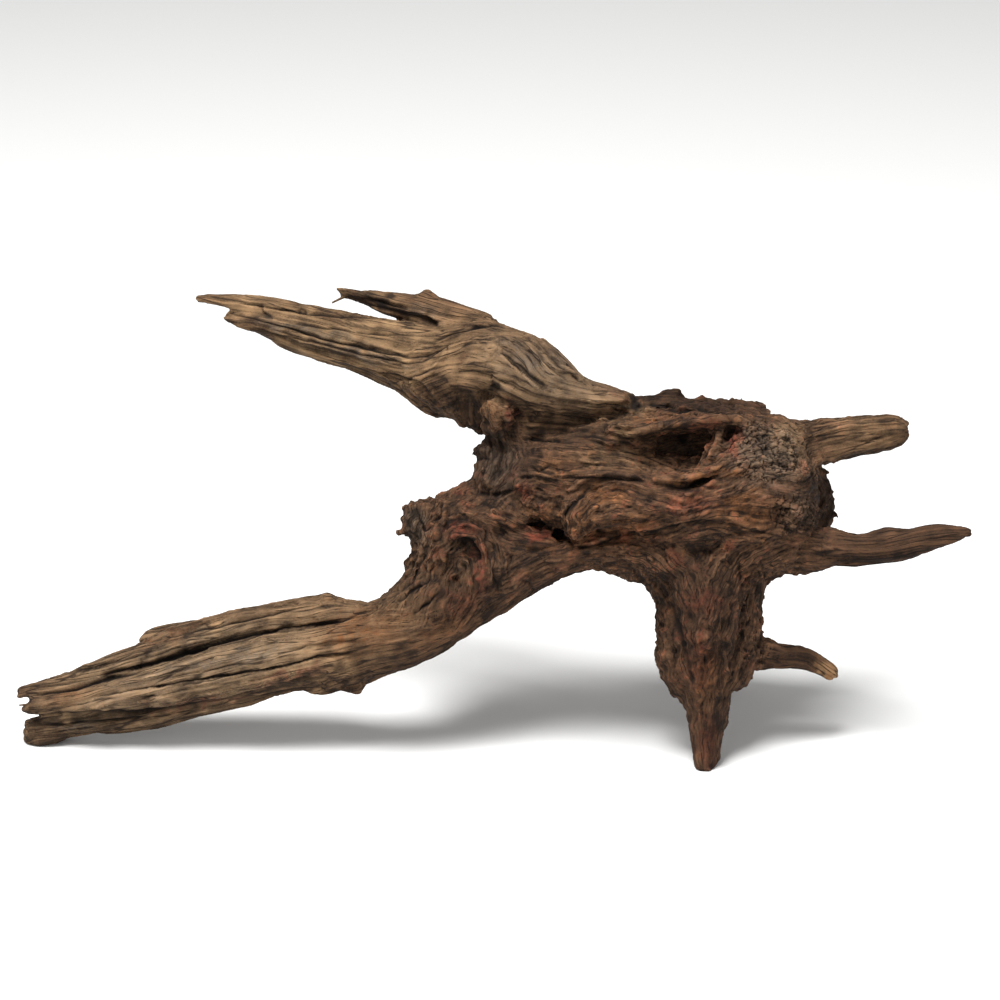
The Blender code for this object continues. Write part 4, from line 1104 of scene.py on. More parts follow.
# Stains, in millimetres on the front drawing. The dark patches also paint shade, and the pale ones also
# paint highlights.
PATCHES = {
    Stain.WEATHER: patches(
        (-150, -85, 112, 34, 16), (-60, -66, 32, 17, 24, 0.5), (-80, 86, 90, 28, -14),
        (6, 68, 54, 24, -24, 0.8), (52, 48, 22, 8, -12, 0.8), (182, 32, 34, 16, 6, 0.5),
        (165, -86, 6, 5, -40, 1.6), (146, 30, 10, 14, -40, 0.55), (62, 34, 7, 3, 0, 0.9),
        (55, 20, 22, 7, 0, 0.4),
    ),
    Stain.GREY: patches(
        (-122, -77, 22, 5, 14, 0.8), (-160, -86, 80, 24, 15, 0.45), (-41, -14, 6, 9, 0, 0.6),
        (24, 64, 34, 16, -20, 0.5), (0, 18, 10, 16, 0, 0.5), (-92, 84, 26, 2.4, -12, 0.6),
        (134, 22, 19, 16, -18, 0.55), (148, -5, 11, 9, 0, 0.4),
    ),
    Stain.SLATE: patches(
        (-68, 72.5, 26, 2.4, -13, 0.6), (-110, 88, 14, 1.6, -12, 0.45), (-40, 96, 12, 1.8, -20, 0.4),
        (12, 70, 16, 1.6, -38, 0.4), (-150, -82, 22, 2.2, 15, 0.5), (-212, -113, 12, 3, 4, 0.6),
        (-1, 56, 5, 4, 0, 0.6),
    ),
    Stain.RED: patches(
        (-150, -101, 30, 2.0, 8, 0.45), (-104, -87, 18, 3.0, 16, 0.45), (117, 29, 3, 7, -30, 0.9),
        (-18, -16.5, 9, 4, 8, 0.9), (-10, -34, 3.5, 14, 8, 0.8), (21, -18, 9, 4, -6, 0.9),
        (12, 4, 5, 4, 0, 0.7), (-19, 4, 3, 3, 0, 0.7), (4, 43, 2.5, 6, 25, 0.8),
        (96, -2, 14, 6, 0, 0.45), (105, 38, 8, 3, 0, 0.4), (102, -52, 9, 8, 0, 0.5),
        (100, -80, 8, 14, 0, 0.35), (-20, -52, 12, 6, 20, 0.4), (104, -122, 6, 14, 0, 0.35),
        (-58, 97, 14, 2.0, -14, 0.4),
    ),
    Stain.ORANGE: patches(
        (-216, -98, 12, 3.5, 12, 0.6), (-160, -67, 24, 2.2, 18, 0.5), (30, 17, 9, 5, 0, 0.5),
        (54, 2, 12, 5, 6, 0.9), (42, -12, 9, 9, 0, 0.6), (68, -12, 14, 5, 10, 0.6),
        (126, -6, 18, 10, 0, 0.75), (100, 12, 18, 2.2, 12, 0.8), (118, 14, 8, 2.2, 22, 0.9),
        (105, -88, 6, 16, 0, 0.6), (88, -53, 4, 3, 0, 0.8), (-70, -66, 22, 9, 14, 0.75),
        (-30, -66, 18, 6, 26, 0.5), (22, -6, 9, 3, 0, 0.6), (24, -23, 9, 3, 0, 0.6),
        (80, 41, 22, 2, 0, 0.5), (-31, -40, 3, 10, 6, 0.4), (165, -86, 6, 5, -40, 0.6),
        (-4, 43, 4, 8, 0, 0.5),
    ),
    # Dark stains, and painted shade: in pits and grooves, in the hollow, under the lower limb's ledges and
    # on the upper prong's underside.
    Stain.DARK: patches(
        (90, 28, 11, 7, 0, 0.7), (115.5, 32.5, 3, 7, -35, 0.7), (96, 7.5, 13, 2, 14, 0.9),
        (-2, 24, 20, 24, 0, 0.55), (34, 34, 34, 8, 0, 0.4), (-16, 48, 9, 9, 0, 0.6),
        (102, 49, 36, 6.5, 0, 0.7), (-24, -34, 36, 24, 40, 0.4), (104, -70, 32, 56, 0, 0.4),
        (78, -58, 7, 18, 0, 0.5), (200, -20, 44, 12, 4, 0.36), (-11, 45, 2.5, 9, 10, 0.8),
        (-1, 56.5, 4, 4, 0, 0.7), (-16, -23, 7, 2, -20, 0.8), (-23, -41, 4, 6, 0, 0.5),
        (163, 0, 8, 18, 0, 0.7), (67.5, 48, 6, 5, 0, 1.0), (88, -62, 9, 16, 0, 0.45),
        (30, -17, 4, 4, 0, 0.6), (35, 38, 30, 3, 0, 0.35), (-52, 95.2, 25, 3.0, -18, 1.0),
        (-190, -108.5, 46, 2.4, 3, 0.6), (-118, -96.5, 34, 2.4, 18, 0.6),
        (-180, -83, 24, 1.6, 15, 0.5), (142, -78, 12, 6, 0, 0.45), (152, -80, 9, 6, -20, 0.4),
        (-12, 52, 9, 8, 0, 0.4), (-44, -38, 8, 20, -25, 0.35),
    ),
    # The pale cut tip, and painted highlights on the flap, the lips, the stub's front, the knot's column and
    # strand edges.
    Stain.PALE: patches(
        (165, -86, 6, 5, -40, 1.5), (61, 35.5, 6, 2.5, -10, 0.8), (96, 9.5, 14, 1.6, 14, 0.8),
        (100, 3.2, 10, 1.8, 30, 0.6), (72, 14, 20, 3, 0, 0.5), (-16, -40, 3, 12, 8, 0.6),
        (-3, 44, 4.5, 8, 0, 0.8), (8, 64, 18, 8, -20, 0.4), (56, 52, 18, 4, -14, 0.7),
        (144, 34, 8, 10, -40, 0.5), (-96, -72, 30, 5, 14, 0.5), (-190, -98, 26, 4, 10, 0.5),
        (-120, 96, 26, 4, -10, 0.5),
    ),
}

# Cracked bark, the gnarled wood, and the clean shoulder that lies across it.
CRACKED_BARK = patches((132, 24, 17, 15, -20), (147, -7, 12, 10))
GNARLED = patches((84, 8, 92, 52), (-20, -24, 42, 36, 40), (104, -64, 34, 52))
CLEAN_SHOULDER = Patch(4, 68, 60, 22, -24)


@dataclass
class Driftwood:
    """The whole piece of wood, in one fused skin that is parted at the forks again."""

    rough_voxel: float = 0.85
    fine_voxel: float = 0.71
    swell: float = 0.75
    taken_back: float = 0.55
    facet_rounds: int = 12
    facing_rounds: int = 40
    front_depth: float = 12.0
    planted_height: float = 3.0
    bark_cell: float = 4.4
    shoulder_foot: tuple[float, float] = (-6.0, 40.5)
    back_slope: float = 0.25
    back_edge: float = -6.0
    settling_rounds: int = 30
    threads: Cloud = field(default_factory=lambda: Cloud(11, 2.0))
    cords: Cloud = field(default_factory=lambda: Cloud(12, 4.4))
    ropes: Cloud = field(default_factory=lambda: Cloud(13, 9.0))
    shreds: Cloud = field(default_factory=lambda: Cloud(18, 3.4))
    grit: Cloud = field(default_factory=lambda: Cloud(16, 2.8))
    knobs: Cloud = field(default_factory=lambda: Cloud(14, 7.5))
    humps: Cloud = field(default_factory=lambda: Cloud(17, 16.0))
    drift: Cloud = field(default_factory=lambda: Cloud(15, 40.0))
    grain: Grain = field(default_factory=lambda: Grain(FIBRE_RUNS))

    def fused_skin(self) -> Skin:
        """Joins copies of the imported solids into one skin.

        Returns:
            The skin, in millimetres, before any relief.
        """
        bpy.ops.object.select_all(action="DESELECT")
        for node in frame["nodes"].values():
            copy = node.copy()
            copy.data = node.data.copy()
            copy.parent = None
            bpy.context.scene.collection.objects.link(copy)
            copy.select_set(True)
            bpy.context.view_layer.objects.active = copy
        bpy.ops.object.join()
        joined = bpy.context.view_layer.objects.active
        bpy.ops.object.mode_set(mode="EDIT")
        bpy.ops.mesh.select_all(action="SELECT")
        bpy.ops.mesh.remove_doubles(threshold=0.00001)
        bpy.ops.object.mode_set(mode="OBJECT")
        rounded = joined.modifiers.new("Rounded", "SUBSURF")
        rounded.levels = rounded.render_levels = 1
        bpy.ops.object.modifier_apply(modifier=rounded.name)
        self.add_strands(joined)
        swell = joined.modifiers.new("Swell", "DISPLACE")
        swell.mid_level = 0
        swell.strength = self.swell * MM
        bpy.ops.object.modifier_apply(modifier=swell.name)
        skin = self.voxel_skin(joined, self.rough_voxel)
        skin.smooth(self.facet_rounds)
        skin.points -= self.taken_back * skin.normals
        return skin

    def add_strands(self, joined: bpy.types.Object) -> None:
        """Joins the raised strands to the wood.

        Args:
            joined: The object that holds all of the solids.
        """
        mesh = joined.data
        mesh.calc_loop_triangles()
        surface = BVHTree.FromPolygons([v.co / MM for v in mesh.vertices],
                                       [tuple(t.vertices) for t in mesh.loop_triangles])
        bm = bmesh.new()
        bm.from_mesh(mesh)
        for strand in STRANDS:
            points, faces = strand.laid(surface)
            made = [bm.verts.new(point * MM) for point in points]
            for face in faces:
                bm.faces.new([made[k] for k in face])
        bm.to_mesh(mesh)
        bm.free()

    def voxel_skin(self, solid: bpy.types.Object, voxel: float) -> Skin:
        """Remeshes an object evenly and takes it out of the scene as arrays.

        Args:
            solid: The object.
            voxel: The size of the new faces, in millimetres.

        Returns:
            The new skin, in millimetres.
        """
        bpy.ops.object.select_all(action="DESELECT")
        bpy.context.view_layer.objects.active = solid
        solid.select_set(True)
        fuse = solid.modifiers.new("Fuse", "REMESH")
        fuse.mode = "VOXEL"
        fuse.voxel_size = voxel * MM
        bpy.ops.object.modifier_apply(modifier=fuse.name)
        mesh = solid.data
        points = np.empty(len(mesh.vertices) * 3)
        mesh.vertices.foreach_get("co", points)
        corners = np.empty(len(mesh.loops), int)
        mesh.loops.foreach_get("vertex_index", corners)
        bpy.data.objects.remove(solid)
        return Skin(points.reshape(-1, 3) / MM, corners.reshape(-1, 4))

    def remeshed(self, skin: Skin) -> Skin:
        """Spreads the faces evenly over the carved forms.

        Args:
            skin: The carved skin.

        Returns:
            A new, finer skin.
        """
        skin = skin.largest_part()
        mesh = bpy.data.meshes.new("forms")
        mesh.from_pydata((skin.points * MM).tolist(), [], skin.faces.tolist())
        solid = bpy.data.objects.new("forms", mesh)
        bpy.context.scene.collection.objects.link(solid)
        fine = self.voxel_skin(solid, self.fine_voxel).largest_part()
        fine.smooth(2)
        return fine

    def front_share(self, skin: Skin, drawn: Array) -> Array:
        """How much each point belongs to the side that is drawn.

        Args:
            skin: The skin.
            drawn: Its points on the drawing.

        Returns:
            1 where a point faces the viewer with nothing before it, and 0 behind.
        """
        cell = np.round(drawn[:, :2]).astype(int)
        cell -= cell.min(axis=0) - 2
        nearest = np.full(cell.max(axis=0) + 3, -FAR)
        np.maximum.at(nearest, (cell[:, 0], cell[:, 1]), drawn[:, 2])
        before = nearest[cell[:, 0], cell[:, 1]]
        return eased(skin.normals @ SIGHT.axis, -0.35, 0.1) * (drawn[:, 2] > before - self.front_depth)

    def press(self, skin: Skin, lift: Array) -> None:
        """Moves the skin along its normals, and keeps the feet flat.

        Args:
            skin: The skin, whose points are moved.
            lift: How far each point moves, in millimetres.
        """
        planted = eased(skin.points[:, 2], 0.0, self.planted_height)
        skin.points = skin.points + skin.normals * (lift * planted)[:, None]
        skin.points[:, 2] = np.maximum(skin.points[:, 2], 0.0)
        skin.find_normals()

    def carve_forms(self, skin: Skin) -> None:
        """Gives the skin its ropes, humps, torn bark and the marks that are drawn.

        Args:
            skin: The smooth skin, whose points are moved.
        """
        drawn = SIGHT.to_drawing(skin.points)
        knobs, humps, drift = (cloud.read(drawn) for cloud in (self.knobs, self.humps, self.drift))
        gnarl = self.gnarl(drawn, drift)
        fibres = self.warped_fibres(skin, drawn, gnarl, humps, drift)
        ropes = self.mixed(fibres, self.ropes, gnarl, 24, 6)
        cords = self.mixed(fibres, self.cords, gnarl, 30, 7)
        shreds = fibres.read(self.shreds, 4)
        torn = self.patch_share(TORN_BARK, drawn) * gnarl
        lift = (0.50 + 0.20 * gnarl) * (1.6 * soft_abs(ropes) - 1.2)
        lift += (0.14 + 0.16 * gnarl) * (1.6 * soft_abs(cords) - 1.2)
        lift -= 0.8 * eased(-cords - 0.4 * drift, 1.6, 2.5)
        lift += gnarl * (0.26 * knobs + 0.45 * humps + 0.2 * shreds)
        lift += torn * (0.7 * (1 - 1.5 * soft_abs(shreds)) + 0.6 * knobs)
        marks = self.stroke_lift(drawn, knobs, humps, False)
        self.press(skin, lift + self.front_share(skin, drawn) * marks)

    def stroke_lift(self, drawn: Array, knobs: Array, humps: Array, is_fine: bool) -> Array:
        """The sum of the fine strokes, or of the others, with lines that waver a little."""
        at = drawn[:, :2] + np.stack([knobs, humps], axis=1) * 0.2
        return sum(stroke.lift(at) for stroke in STROKES if stroke.is_fine is is_fine)

    def warped_fibres(self, skin: Skin, drawn: Array, gnarl: Array, humps: Array, drift: Array) -> Fibres:
        """The fibre coordinates, a little uneven: more so where the wood is gnarled.

        Depth counts less on faces toward the viewer, so that the fibres run on over humps and tapers.

        Args:
            skin: The skin.
            drawn: Its points on the drawing.
            gnarl: How gnarled the wood is there.
            humps: The noise that sways the fibres.
            drift: The slowest noise.

        Returns:
            The fibre coordinates.
        """
        facing = np.abs(skin.eased(skin.normals @ SIGHT.axis, self.facing_rounds))
        depth_share = 0.28 + 0.72 * eased(-facing, -0.75, -0.3)
        sway = np.stack([humps, drift, humps], axis=1) * (0.35 + 0.8 * gnarl)[:, None]
        return self.grain.follow(drawn + sway, depth_share)

    def mixed(self, fibres: Fibres, cloud: Cloud, gnarl: Array, straight: float, knotty: float) -> Array:
        """A drawn-out noise that is long on the clean limbs and short on the gnarled wood.

        Args:
            fibres: The fibre coordinates.
            cloud: The noise.
            gnarl: How gnarled the wood is.
            straight: How far the noise is drawn out on clean wood.
            knotty: The same on gnarled wood.

        Returns:
            One value per point.
        """
        share = np.clip(gnarl, 0, 1)
        blend = (1 - share) * fibres.read(cloud, straight) + share * fibres.read(cloud, knotty)
        return blend / np.sqrt((1 - share) ** 2 + share ** 2)

    def carve_fibres(self, skin: Skin) -> dict[str, Array]:
        """Adds the fine relief: threads, pits and cracked bark.

        Args:
            skin: The skin with its forms, whose points are moved.

        Returns:
            What the colours need: the noises and masks, one value per point.
        """
        drawn = SIGHT.to_drawing(skin.points)
        knobs, humps, drift = (cloud.read(drawn) for cloud in (self.knobs, self.humps, self.drift))
        gnarl = self.gnarl(drawn, drift)
        fibres = self.warped_fibres(skin, drawn, gnarl, humps, drift)
        threads = self.mixed(fibres, self.threads, gnarl, 36, 9)
        cords = self.mixed(fibres, self.cords, gnarl, 30, 7)
        shreds = fibres.read(self.shreds, 4)
        grit = self.grit.read(drawn)
        torn = self.patch_share(TORN_BARK, drawn) * gnarl
        cracked, cells = self.cracked_bark(drawn)
        lift = (0.07 + 0.05 * gnarl) * threads - 0.4 * eased(-threads - 0.3 * knobs, 1.5, 2.5)
        lift += 0.10 * gnarl * shreds + (0.02 + 0.05 * gnarl + 0.10 * torn) * grit
        marks = self.front_share(skin, drawn) * self.stroke_lift(drawn, knobs, humps, True)
        calm = 1 - 0.7 * np.clip(np.abs(marks) / 1.2, 0, 1)
        self.press(skin, lift * calm * (1 - 0.85 * cracked) + cells + marks)
        along = np.array([20.0, 1.0, 1.0])
        return {"drawn": drawn, "threads": threads, "cords": cords, "shreds": shreds, "knobs": knobs,
                "humps": humps, "drift": drift, "grit": grit, "gnarl": gnarl, "cells": cells,
                "marks": marks, "cracked": cracked, "share": fibres.share,
                "grain": fibres.first / along, "grain_next": fibres.second / along}

    def patch_share(self, spots: tuple[Patch, ...], drawn: Array) -> Array:
        """The strongest share of some patches at each point."""
        return np.max([spot.share(drawn[:, :2]) for spot in spots], axis=0)

    def gnarl(self, drawn: Array, drift: Array) -> Array:
        """How rough and bark-like the wood is.

        Args:
            drawn: The points on the drawing.
            drift: The slowest noise there.

        Returns:
            One value per point, from near 0 on the clean limbs to 1 on the crown.
        """
        total = sum(patch.share(drawn[:, :2]) for patch in GNARLED)
        shoulder = CLEAN_SHOULDER.share(drawn[:, :2])
        return np.clip(np.minimum(total, 1) * (1 - 0.85 * shoulder) * (0.8 + 0.2 * drift), 0.05, 1)

    def cracked_bark(self, drawn: Array) -> tuple[Array, Array]:
        """The small cells of cracked bark on the crown's right end.

        Args:
            drawn: Rows of across, up and toward, in millimetres.

        Returns:
            How much of the bark is cracked, and the cells' height in millimetres.
        """
        share = np.zeros(len(drawn))
        for bark in CRACKED_BARK:
            share = np.maximum(share, eased(bark.share(drawn[:, :2]), 0.12, 0.5))
        height = np.zeros(len(drawn))
        rows = np.flatnonzero(share > 0.08)
        seeds = np.random.default_rng(5)
        low, high = drawn[rows].min(axis=0) - 4, drawn[rows].max(axis=0) + 4
        counts = np.ceil((high - low) / self.bark_cell).astype(int) + 1
        jitter = seeds.random((*counts, 3))
        lift = seeds.random(tuple(counts))
        place = (drawn[rows] + 0.4 * self.grit.read(drawn[rows])[:, None] - low) / self.bark_cell
        home = np.floor(place).astype(int)
        best = np.full(len(rows), 9.0)
        second = np.full(len(rows), 9.0)
        top = np.zeros(len(rows))
        for step in np.ndindex(3, 3, 3):
            near = np.clip(home + np.array(step) - 1, 0, counts - 1)
            x, y, z = near.T
            gap = np.linalg.norm(near + jitter[x, y, z] - place, axis=1)
            closer = gap < best
            second = np.where(closer, best, np.minimum(second, gap))
            top = np.where(closer, lift[x, y, z], top)
            best = np.where(closer, gap, best)
        edge = eased(second - best, 0.02, 0.20)
        height[rows] = share[rows] * (edge * (0.15 + 0.35 * top) - (1 - edge) * 0.6)
        return np.clip(share, 0, 1), height

    def colours(self, skin: Skin, made: dict[str, Array]) -> dict[str, Array]:
        """Works out the stains and wear, and the painted shade and painted highlights.

        Args:
            skin: The carved skin.
            made: What carve_fibres() returned.

        Returns:
            Attributes of three values per point: wood, stain, wear and grain.
        """
        knobs, humps, grit, gnarl = (made[name] for name in ("knobs", "humps", "grit", "gnarl"))
        at = made["drawn"][:, :2] + np.stack([knobs, humps], axis=1) * 1.6
        uneven = 0.45 + 0.55 * eased(knobs + 0.8 * grit, -1.0, 1.0)
        share = {stain: self.patch_share(PATCHES[stain], at) for stain in Stain}
        for stain in (Stain.RED, Stain.ORANGE, Stain.GREY, Stain.SLATE):
            share[stain] = share[stain] * uneven
        share[Stain.RED] += gnarl * 0.45 * eased(humps + 0.7 * grit, 0.9, 2.0)
        share[Stain.ORANGE] += (0.2 + 0.3 * gnarl) * eased(knobs + 0.6 * grit, 0.9, 2.2)
        share[Stain.WEATHER] *= 0.85 + 0.12 * made["drift"] + 0.10 * humps
        plain = 1 - made["cracked"]
        share[Stain.DARK] += 0.35 * plain * gnarl * eased(-knobs - 0.5 * humps, 0.8, 2.0)
        hollow = self.height_over(skin, 3)
        deep = self.height_over(skin, 30)
        tone = 0.5 + 0.08 * made["threads"] + 0.10 * made["cords"] + 0.08 * humps + 0.04 * made["drift"]
        tone += gnarl * (0.06 * made["shreds"] + 0.04 * grit)
        # Painted shade: faces that look down are made darker.
        tone -= 0.22 * eased(-skin.normals[:, 2], -0.1, 0.9)
        # Pale patches lighter: pale wood and painted highlights.
        tone += 0.35 * share[Stain.PALE]
        # Raised points and edges are lighter: partly worn wood, partly painted highlight.
        worn_and_highlight = eased(hollow, 0.02, 0.25) * 0.5 + eased(deep, 0.1, 1.2) * 0.4
        # Painted shade: points in hollows and deep recesses take the dark colour.
        cavity_shade = eased(-hollow, 0.03, 0.30) * 0.55 + eased(-deep, 0.2, 1.6) * 0.75
        cavity_shade *= 0.35 + 0.65 * plain
        # Painted shade: grooves, the dropped sides of ledges and the cracks between bark cells go near
        # black.
        groove_shade_share = 0.9 * eased(-made["marks"], 0.4, 1.6) + 0.8 * eased(-made["cells"], 0.15, 0.6)
        columns = {
            "wood": (tone, worn_and_highlight, cavity_shade),
            "stain": (share[Stain.RED], share[Stain.GREY], share[Stain.DARK]),
            "wear": (share[Stain.WEATHER], share[Stain.ORANGE], share[Stain.SLATE]),
            "mix": (made["share"], groove_shade_share, gnarl),
        }
        values = {name: np.clip(np.stack(parts, axis=1), 0, 1) for name, parts in columns.items()}
        values["grain"] = made["grain"]
        values["grain_next"] = made["grain_next"]
        return values

    def height_over(self, skin: Skin, rounds: int) -> Array:
        """How far each point stands above (or, negative, below) its surroundings, in millimetres."""
        around = skin.eased(skin.points, rounds)
        return ((skin.points - around) * skin.normals).sum(axis=1)

    def owners(self, skin: Skin) -> tuple[Array, list[str]]:
        """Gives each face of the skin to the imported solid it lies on.

        Args:
            skin: The carved skin.

        Returns:
            The owner's number per face, and the pieces' names in that order.
        """
        corners, triangles, belongs = [], [], []
        names = sorted(frame["nodes"])
        for number, name in enumerate(names):
            mesh = frame["nodes"][name].data
            mesh.calc_loop_triangles()
            start = len(corners)
            corners.extend(v.co / MM for v in mesh.vertices)
            triangles.extend([start + i for i in t.vertices] for t in mesh.loop_triangles)
            belongs.extend([number] * len(mesh.loop_triangles))
        tree = BVHTree.FromPolygons(corners, triangles)
        found = np.array([belongs[tree.find_nearest(Vector(p))[2]] for p in skin.points])
        crown = names.index("crown")
        behind = len(names)
        across, up, toward = SIGHT.to_drawing(skin.points).T
        past, under = self.shoulder_foot
        found[(found == names.index("shoulder")) & (up < under) & (across > past)] = crown
        found[(found == crown) & (toward + self.back_slope * up < self.back_edge)] = behind
        votes = np.zeros((len(skin.points), behind + 1), np.float32)
        votes[np.arange(len(found)), found] = 1
        found = skin.eased(votes, 12).argmax(axis=1)
        return self.settled(skin, found), names + ["crown_back"]

    def settled(self, skin: Skin, found: Array) -> Array:
        """Turns owners of points into owners of faces, with no pinched corners.

        Args:
            skin: The skin.
            found: The owner's number per point.

        Returns:
            The owner's number per face.
        """
        counts = np.zeros((len(skin.faces), found.max() + 1), np.int8)
        rows = np.arange(len(skin.faces))
        for k in range(4):
            np.add.at(counts, (rows, found[skin.faces[:, k]]), 1)
        owner = counts.argmax(axis=1)
        for _ in range(self.settling_rounds):
            pinched = self.pinched_points(skin, owner)
            if not len(pinched):
                break
            touched = np.isin(skin.faces, pinched).any(axis=1)
            bad = np.zeros(len(skin.points), bool)
            bad[pinched] = True
            lowest = np.full(len(skin.points), 99)
            for k in range(4):
                np.minimum.at(lowest, skin.faces[touched, k], owner[touched])
            for k in range(4):
                mine = bad[skin.faces[:, k]]
                owner[mine] = lowest[skin.faces[mine, k]]
        return owner

    def pinched_points(self, skin: Skin, owner: Array) -> Array:
        """Finds the points where one owner's rim touches itself.

        Args:
            skin: The skin.
            owner: The owner's number per face.

        Returns:
            The points' numbers.
        """
        sides = np.concatenate([skin.faces[:, [k, (k + 1) % 4]] for k in range(4)])
        who = np.tile(owner, 4)
        key = np.sort(sides, axis=1)
        order = np.lexsort((key[:, 1], key[:, 0]))
        key, who = key[order], who[order]
        same = (key[1:] == key[:-1]).all(axis=1)
        rim = np.flatnonzero(same & (who[1:] != who[:-1]))
        ends = np.concatenate([key[rim], key[rim]]).ravel()
        owners = np.repeat(np.concatenate([who[rim], who[rim + 1]]), 2)
        tag = ends.astype(np.int64) * 64 + owners
        tags, times = np.unique(tag, return_counts=True)
        return np.unique(tags[times > 2] // 64)


@dataclass
class Pieces:
    """The parted skin as objects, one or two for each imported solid."""

    skin: Skin
    colours: dict[str, Array]
    slots: dict[str, str]
    cap_rings: tuple[float, ...] = (0.0, 0.12, 0.32, 0.62)
    cap_depth: float = 1.0
    cap_spread: float = 0.01

    def __post_init__(self) -> None:
        """Prepares the search for the nearest point of the skin."""
        self.surface = BVHTree.FromPolygons(self.skin.points.tolist(), self.skin.faces.tolist())

    def build(self, owner: Array, names: list[str], finishes: dict[str, bpy.types.Material]) -> None:
        """Makes one closed object per owner.

        Args:
            owner: The owner's number per face.
            names: The owners' names.
            finishes: A material for each slot.
        """
        for number, name in enumerate(names):
            faces = self.skin.faces[owner == number]
            if not len(faces):
                continue
            node = "crown" if name == "crown_back" else name
            piece = self.piece(name, faces)
            piece.data.materials.append(finishes[self.slots[node]])
            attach(piece, "root")
            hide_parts(node)
            LOG.info("%s: %d faces", piece.name, len(piece.data.polygons))

    def piece(self, name: str, faces: Array) -> bpy.types.Object:
        """One closed piece.

        Args:
            name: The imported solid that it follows.
            faces: The skin's faces that it holds.

        Returns:
            The object, at the origin, with its attributes.
        """
        used, local = np.unique(faces, return_inverse=True)
        local = local.reshape(-1, 4)
        rims = self.rims(local)
        caps, cap_faces, cap_rows = self.caps(self.skin.points[used], self.skin.normals[used], rims)
        points = np.concatenate([self.skin.points[used], caps])
        rows = np.concatenate([used, used[cap_rows]])
        shapes = local.tolist() + cap_faces
        for strand in SPLINTERS.get(name, ()):
            made, tube = strand.laid(self.surface)
            near = np.array([self.surface.find_nearest(Vector(point))[2] for point in made])
            shapes += [[len(points) + corner for corner in face] for face in tube]
            points = np.concatenate([points, made])
            rows = np.concatenate([rows, self.skin.faces[near, 0]])
        mesh = bpy.data.meshes.new(name + "_wood")
        mesh.from_pydata((points * MM).tolist(), [], shapes)
        for key, values in self.colours.items():
            layer = mesh.attributes.new(key, "FLOAT_VECTOR", "POINT")
            layer.data.foreach_set("vector", values[rows].astype(np.float32).ravel())
        mesh.polygons.foreach_set("use_smooth", np.ones(len(mesh.polygons), bool))
        self.sharpen(mesh, rims)
        piece = bpy.data.objects.new(name + "_wood", mesh)
        bpy.context.scene.collection.objects.link(piece)
        return piece

    def rims(self, faces: Array) -> Array:
        """Finds the open edges of some faces.

        Args:
            faces: The faces, four corners each.

        Returns:
            Pairs of points, in the faces' own direction.
        """
        sides = np.concatenate([faces[:, [k, (k + 1) % 4]] for k in range(4)]).astype(np.int64)
        count = faces.max() + 1
        there = sides[:, 0] * count + sides[:, 1]
        back = sides[:, 1] * count + sides[:, 0]
        return sides[~np.isin(there, back)]

    def caps(self, points: Array, normals: Array, rims: Array) -> tuple[Array, list[list[int]], Array]:
        """Hidden caps that lie inside the wood: a ring under each rim, then rings toward its middle.

        Args:
            points: The piece's points.
            normals: Their normals.
            rims: Its open edges.

        Returns:
            The caps' points and faces, and for each of those points the rim point it comes from.
        """
        following = dict(rims.tolist())
        added, faces, rows = [], [], []
        while following:
            first, after = following.popitem()
            loop = [first]
            while after != first:
                loop.append(after)
                after = following.pop(after)
            ring = points[loop]
            under = ring - self.cap_depth * normals[loop]
            middle = ring.mean(axis=0)
            before = np.array(loop)
            for share in self.cap_rings:
                here = len(points) + len(added) + np.arange(len(loop))
                added.extend(self.sunk(under + share * (middle - under)))
                rows.extend(loop)
                corners = np.stack([np.roll(before, -1), before, here, np.roll(here, -1)], axis=1)
                faces.extend(corners.tolist())
                before = here
            centre = len(points) + len(added)
            added.extend(self.sunk(middle[None]))
            rows.append(loop[0])
            faces.extend([int(b), int(a), centre] for a, b in zip(before, np.roll(before, -1)))
        return np.array(added).reshape(-1, 3), faces, np.array(rows, int)

    def sunk(self, points: Array) -> Array:
        """Moves points that would show to a little under the skin, and keeps each in a place of its own.

        Args:
            points: The points.

        Returns:
            The points, with those moved that would show.
        """
        moved = points.copy()
        for number, point in enumerate(points):
            near, normal, _, _ = self.surface.find_nearest(Vector(point))
            if (Vector(point) - near).dot(normal) > -self.cap_depth:
                moved[number] = near - self.cap_depth * normal + self.cap_spread * (Vector(point) - near)
        return moved

    def sharpen(self, mesh: bpy.types.Mesh, rims: Array) -> None:
        """Marks the rims sharp, so that the caps don't sway the skin's shading.

        Args:
            mesh: The piece's mesh.
            rims: Its rims, as pairs of points.
        """
        ends = np.empty(2 * len(mesh.edges), np.int64)
        mesh.edges.foreach_get("vertices", ends)
        ends = np.sort(ends.reshape(-1, 2), axis=1)
        rims = np.sort(rims, axis=1)
        count = len(mesh.vertices)
        sharp = np.isin(ends[:, 0] * count + ends[:, 1], rims[:, 0] * count + rims[:, 1])
        mesh.edges.foreach_set("use_edge_sharp", sharp)


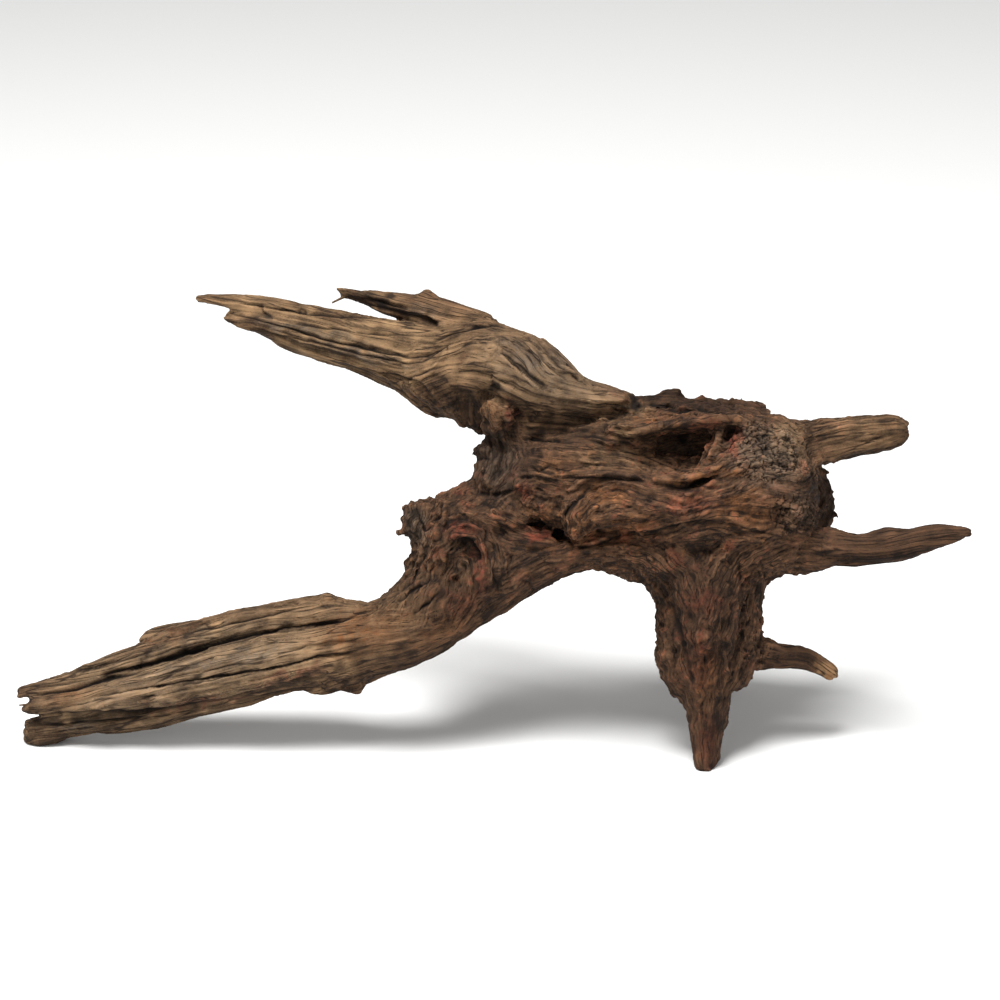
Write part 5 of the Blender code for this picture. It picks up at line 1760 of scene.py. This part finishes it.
@dataclass
class Studio:
    """The floor, the lights and the camera."""

    floor_half: float = 6.0
    floor_colour: Colour = (0.86, 0.86, 0.85)
    lens: float = 135.0
    room_light: float = 0.37

    def build(self) -> None:
        """Sets the studio up around the piece."""
        self.floor()
        self.light("Overhead", (-0.3, -0.5, 2.3), 1.0, 84.0)
        self.light("Front fill", (-1.2, -2.2, 1.0), 1.6, 7.0)
        self.light("Right fill", (1.9, -0.6, 0.9), 1.2, 5.0)
        self.camera()
        self.surroundings()

    def floor(self) -> None:
        """A plain pale floor."""
        bpy.ops.object.select_all(action="DESELECT")
        bpy.ops.mesh.primitive_plane_add(size=2 * self.floor_half, location=(0, 0, 0))
        plane = bpy.context.view_layer.objects.active
        plane.name = "floor"
        made = bpy.data.materials.new("Pale floor")
        made.use_nodes = True
        shader = made.node_tree.nodes["Principled BSDF"]
        shader.inputs["Base Color"].default_value = (*self.floor_colour, 1.0)
        shader.inputs["Roughness"].default_value = 0.9
        plane.data.materials.append(made)

    def light(self, name: str, place: tuple[float, float, float], size: float, power: float) -> None:
        """Adds a soft square light that faces the wood.

        Args:
            name: The light's name.
            place: Where it stands, in metres.
            size: Its side, in metres.
            power: Its power, in watts.
        """
        data = bpy.data.lights.new(name, "AREA")
        data.size = size
        data.energy = power
        made = bpy.data.objects.new(name, data)
        made.location = place
        made.rotation_euler = (Vector((0, 0, 0.1)) - Vector(place)).to_track_quat("-Z", "Y").to_euler()
        bpy.context.scene.collection.objects.link(made)

    def camera(self) -> None:
        """The camera at the photograph's height and distance."""
        data = bpy.data.cameras.new("Camera")
        data.lens = self.lens
        made = bpy.data.objects.new("Camera", data)
        target = SIGHT.to_ground(np.zeros((1, 3)))[0]
        made.location = Vector((target + SIGHT.axis * SIGHT.distance) * MM)
        made.rotation_euler = (math.pi / 2 - SIGHT.tilt, 0, 0)
        bpy.context.scene.collection.objects.link(made)
        bpy.context.scene.camera = made

    def surroundings(self) -> None:
        """Soft light from all sides."""
        world = bpy.data.worlds.new("Soft room")
        world.use_nodes = True
        world.node_tree.nodes["Background"].inputs["Color"].default_value = (1.0, 1.0, 1.0, 1.0)
        world.node_tree.nodes["Background"].inputs["Strength"].default_value = self.room_light
        bpy.context.scene.world = world
        bpy.context.scene.view_settings.view_transform = "Standard"


def main() -> None:
    logging.basicConfig(level=logging.INFO, format="%(message)s")
    wood = Driftwood()
    skin = wood.fused_skin()
    LOG.info("skin: %d points", len(skin.points))
    wood.carve_forms(skin)
    LOG.info("forms carved")
    skin = wood.remeshed(skin)
    LOG.info("fine skin: %d points", len(skin.points))
    made = wood.carve_fibres(skin)
    LOG.info("fibres carved")
    colours = wood.colours(skin, made)
    LOG.info("colours worked out")
    owner, names = wood.owners(skin)
    slots = {part["node"]: part["material_slot"] for part in frame["record"]["subparts"]}
    finishes = {
        "dark_wood": WoodFinish("Dark heartwood").material(),
        "brown_wood": WoodFinish("Brown root wood").material(),
        "weathered_wood": WoodFinish("Weathered wood").material(),
    }
    Pieces(skin, colours, slots).build(owner, names, finishes)
    Studio().build()
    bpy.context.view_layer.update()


if __name__ == "__main__":
    main()
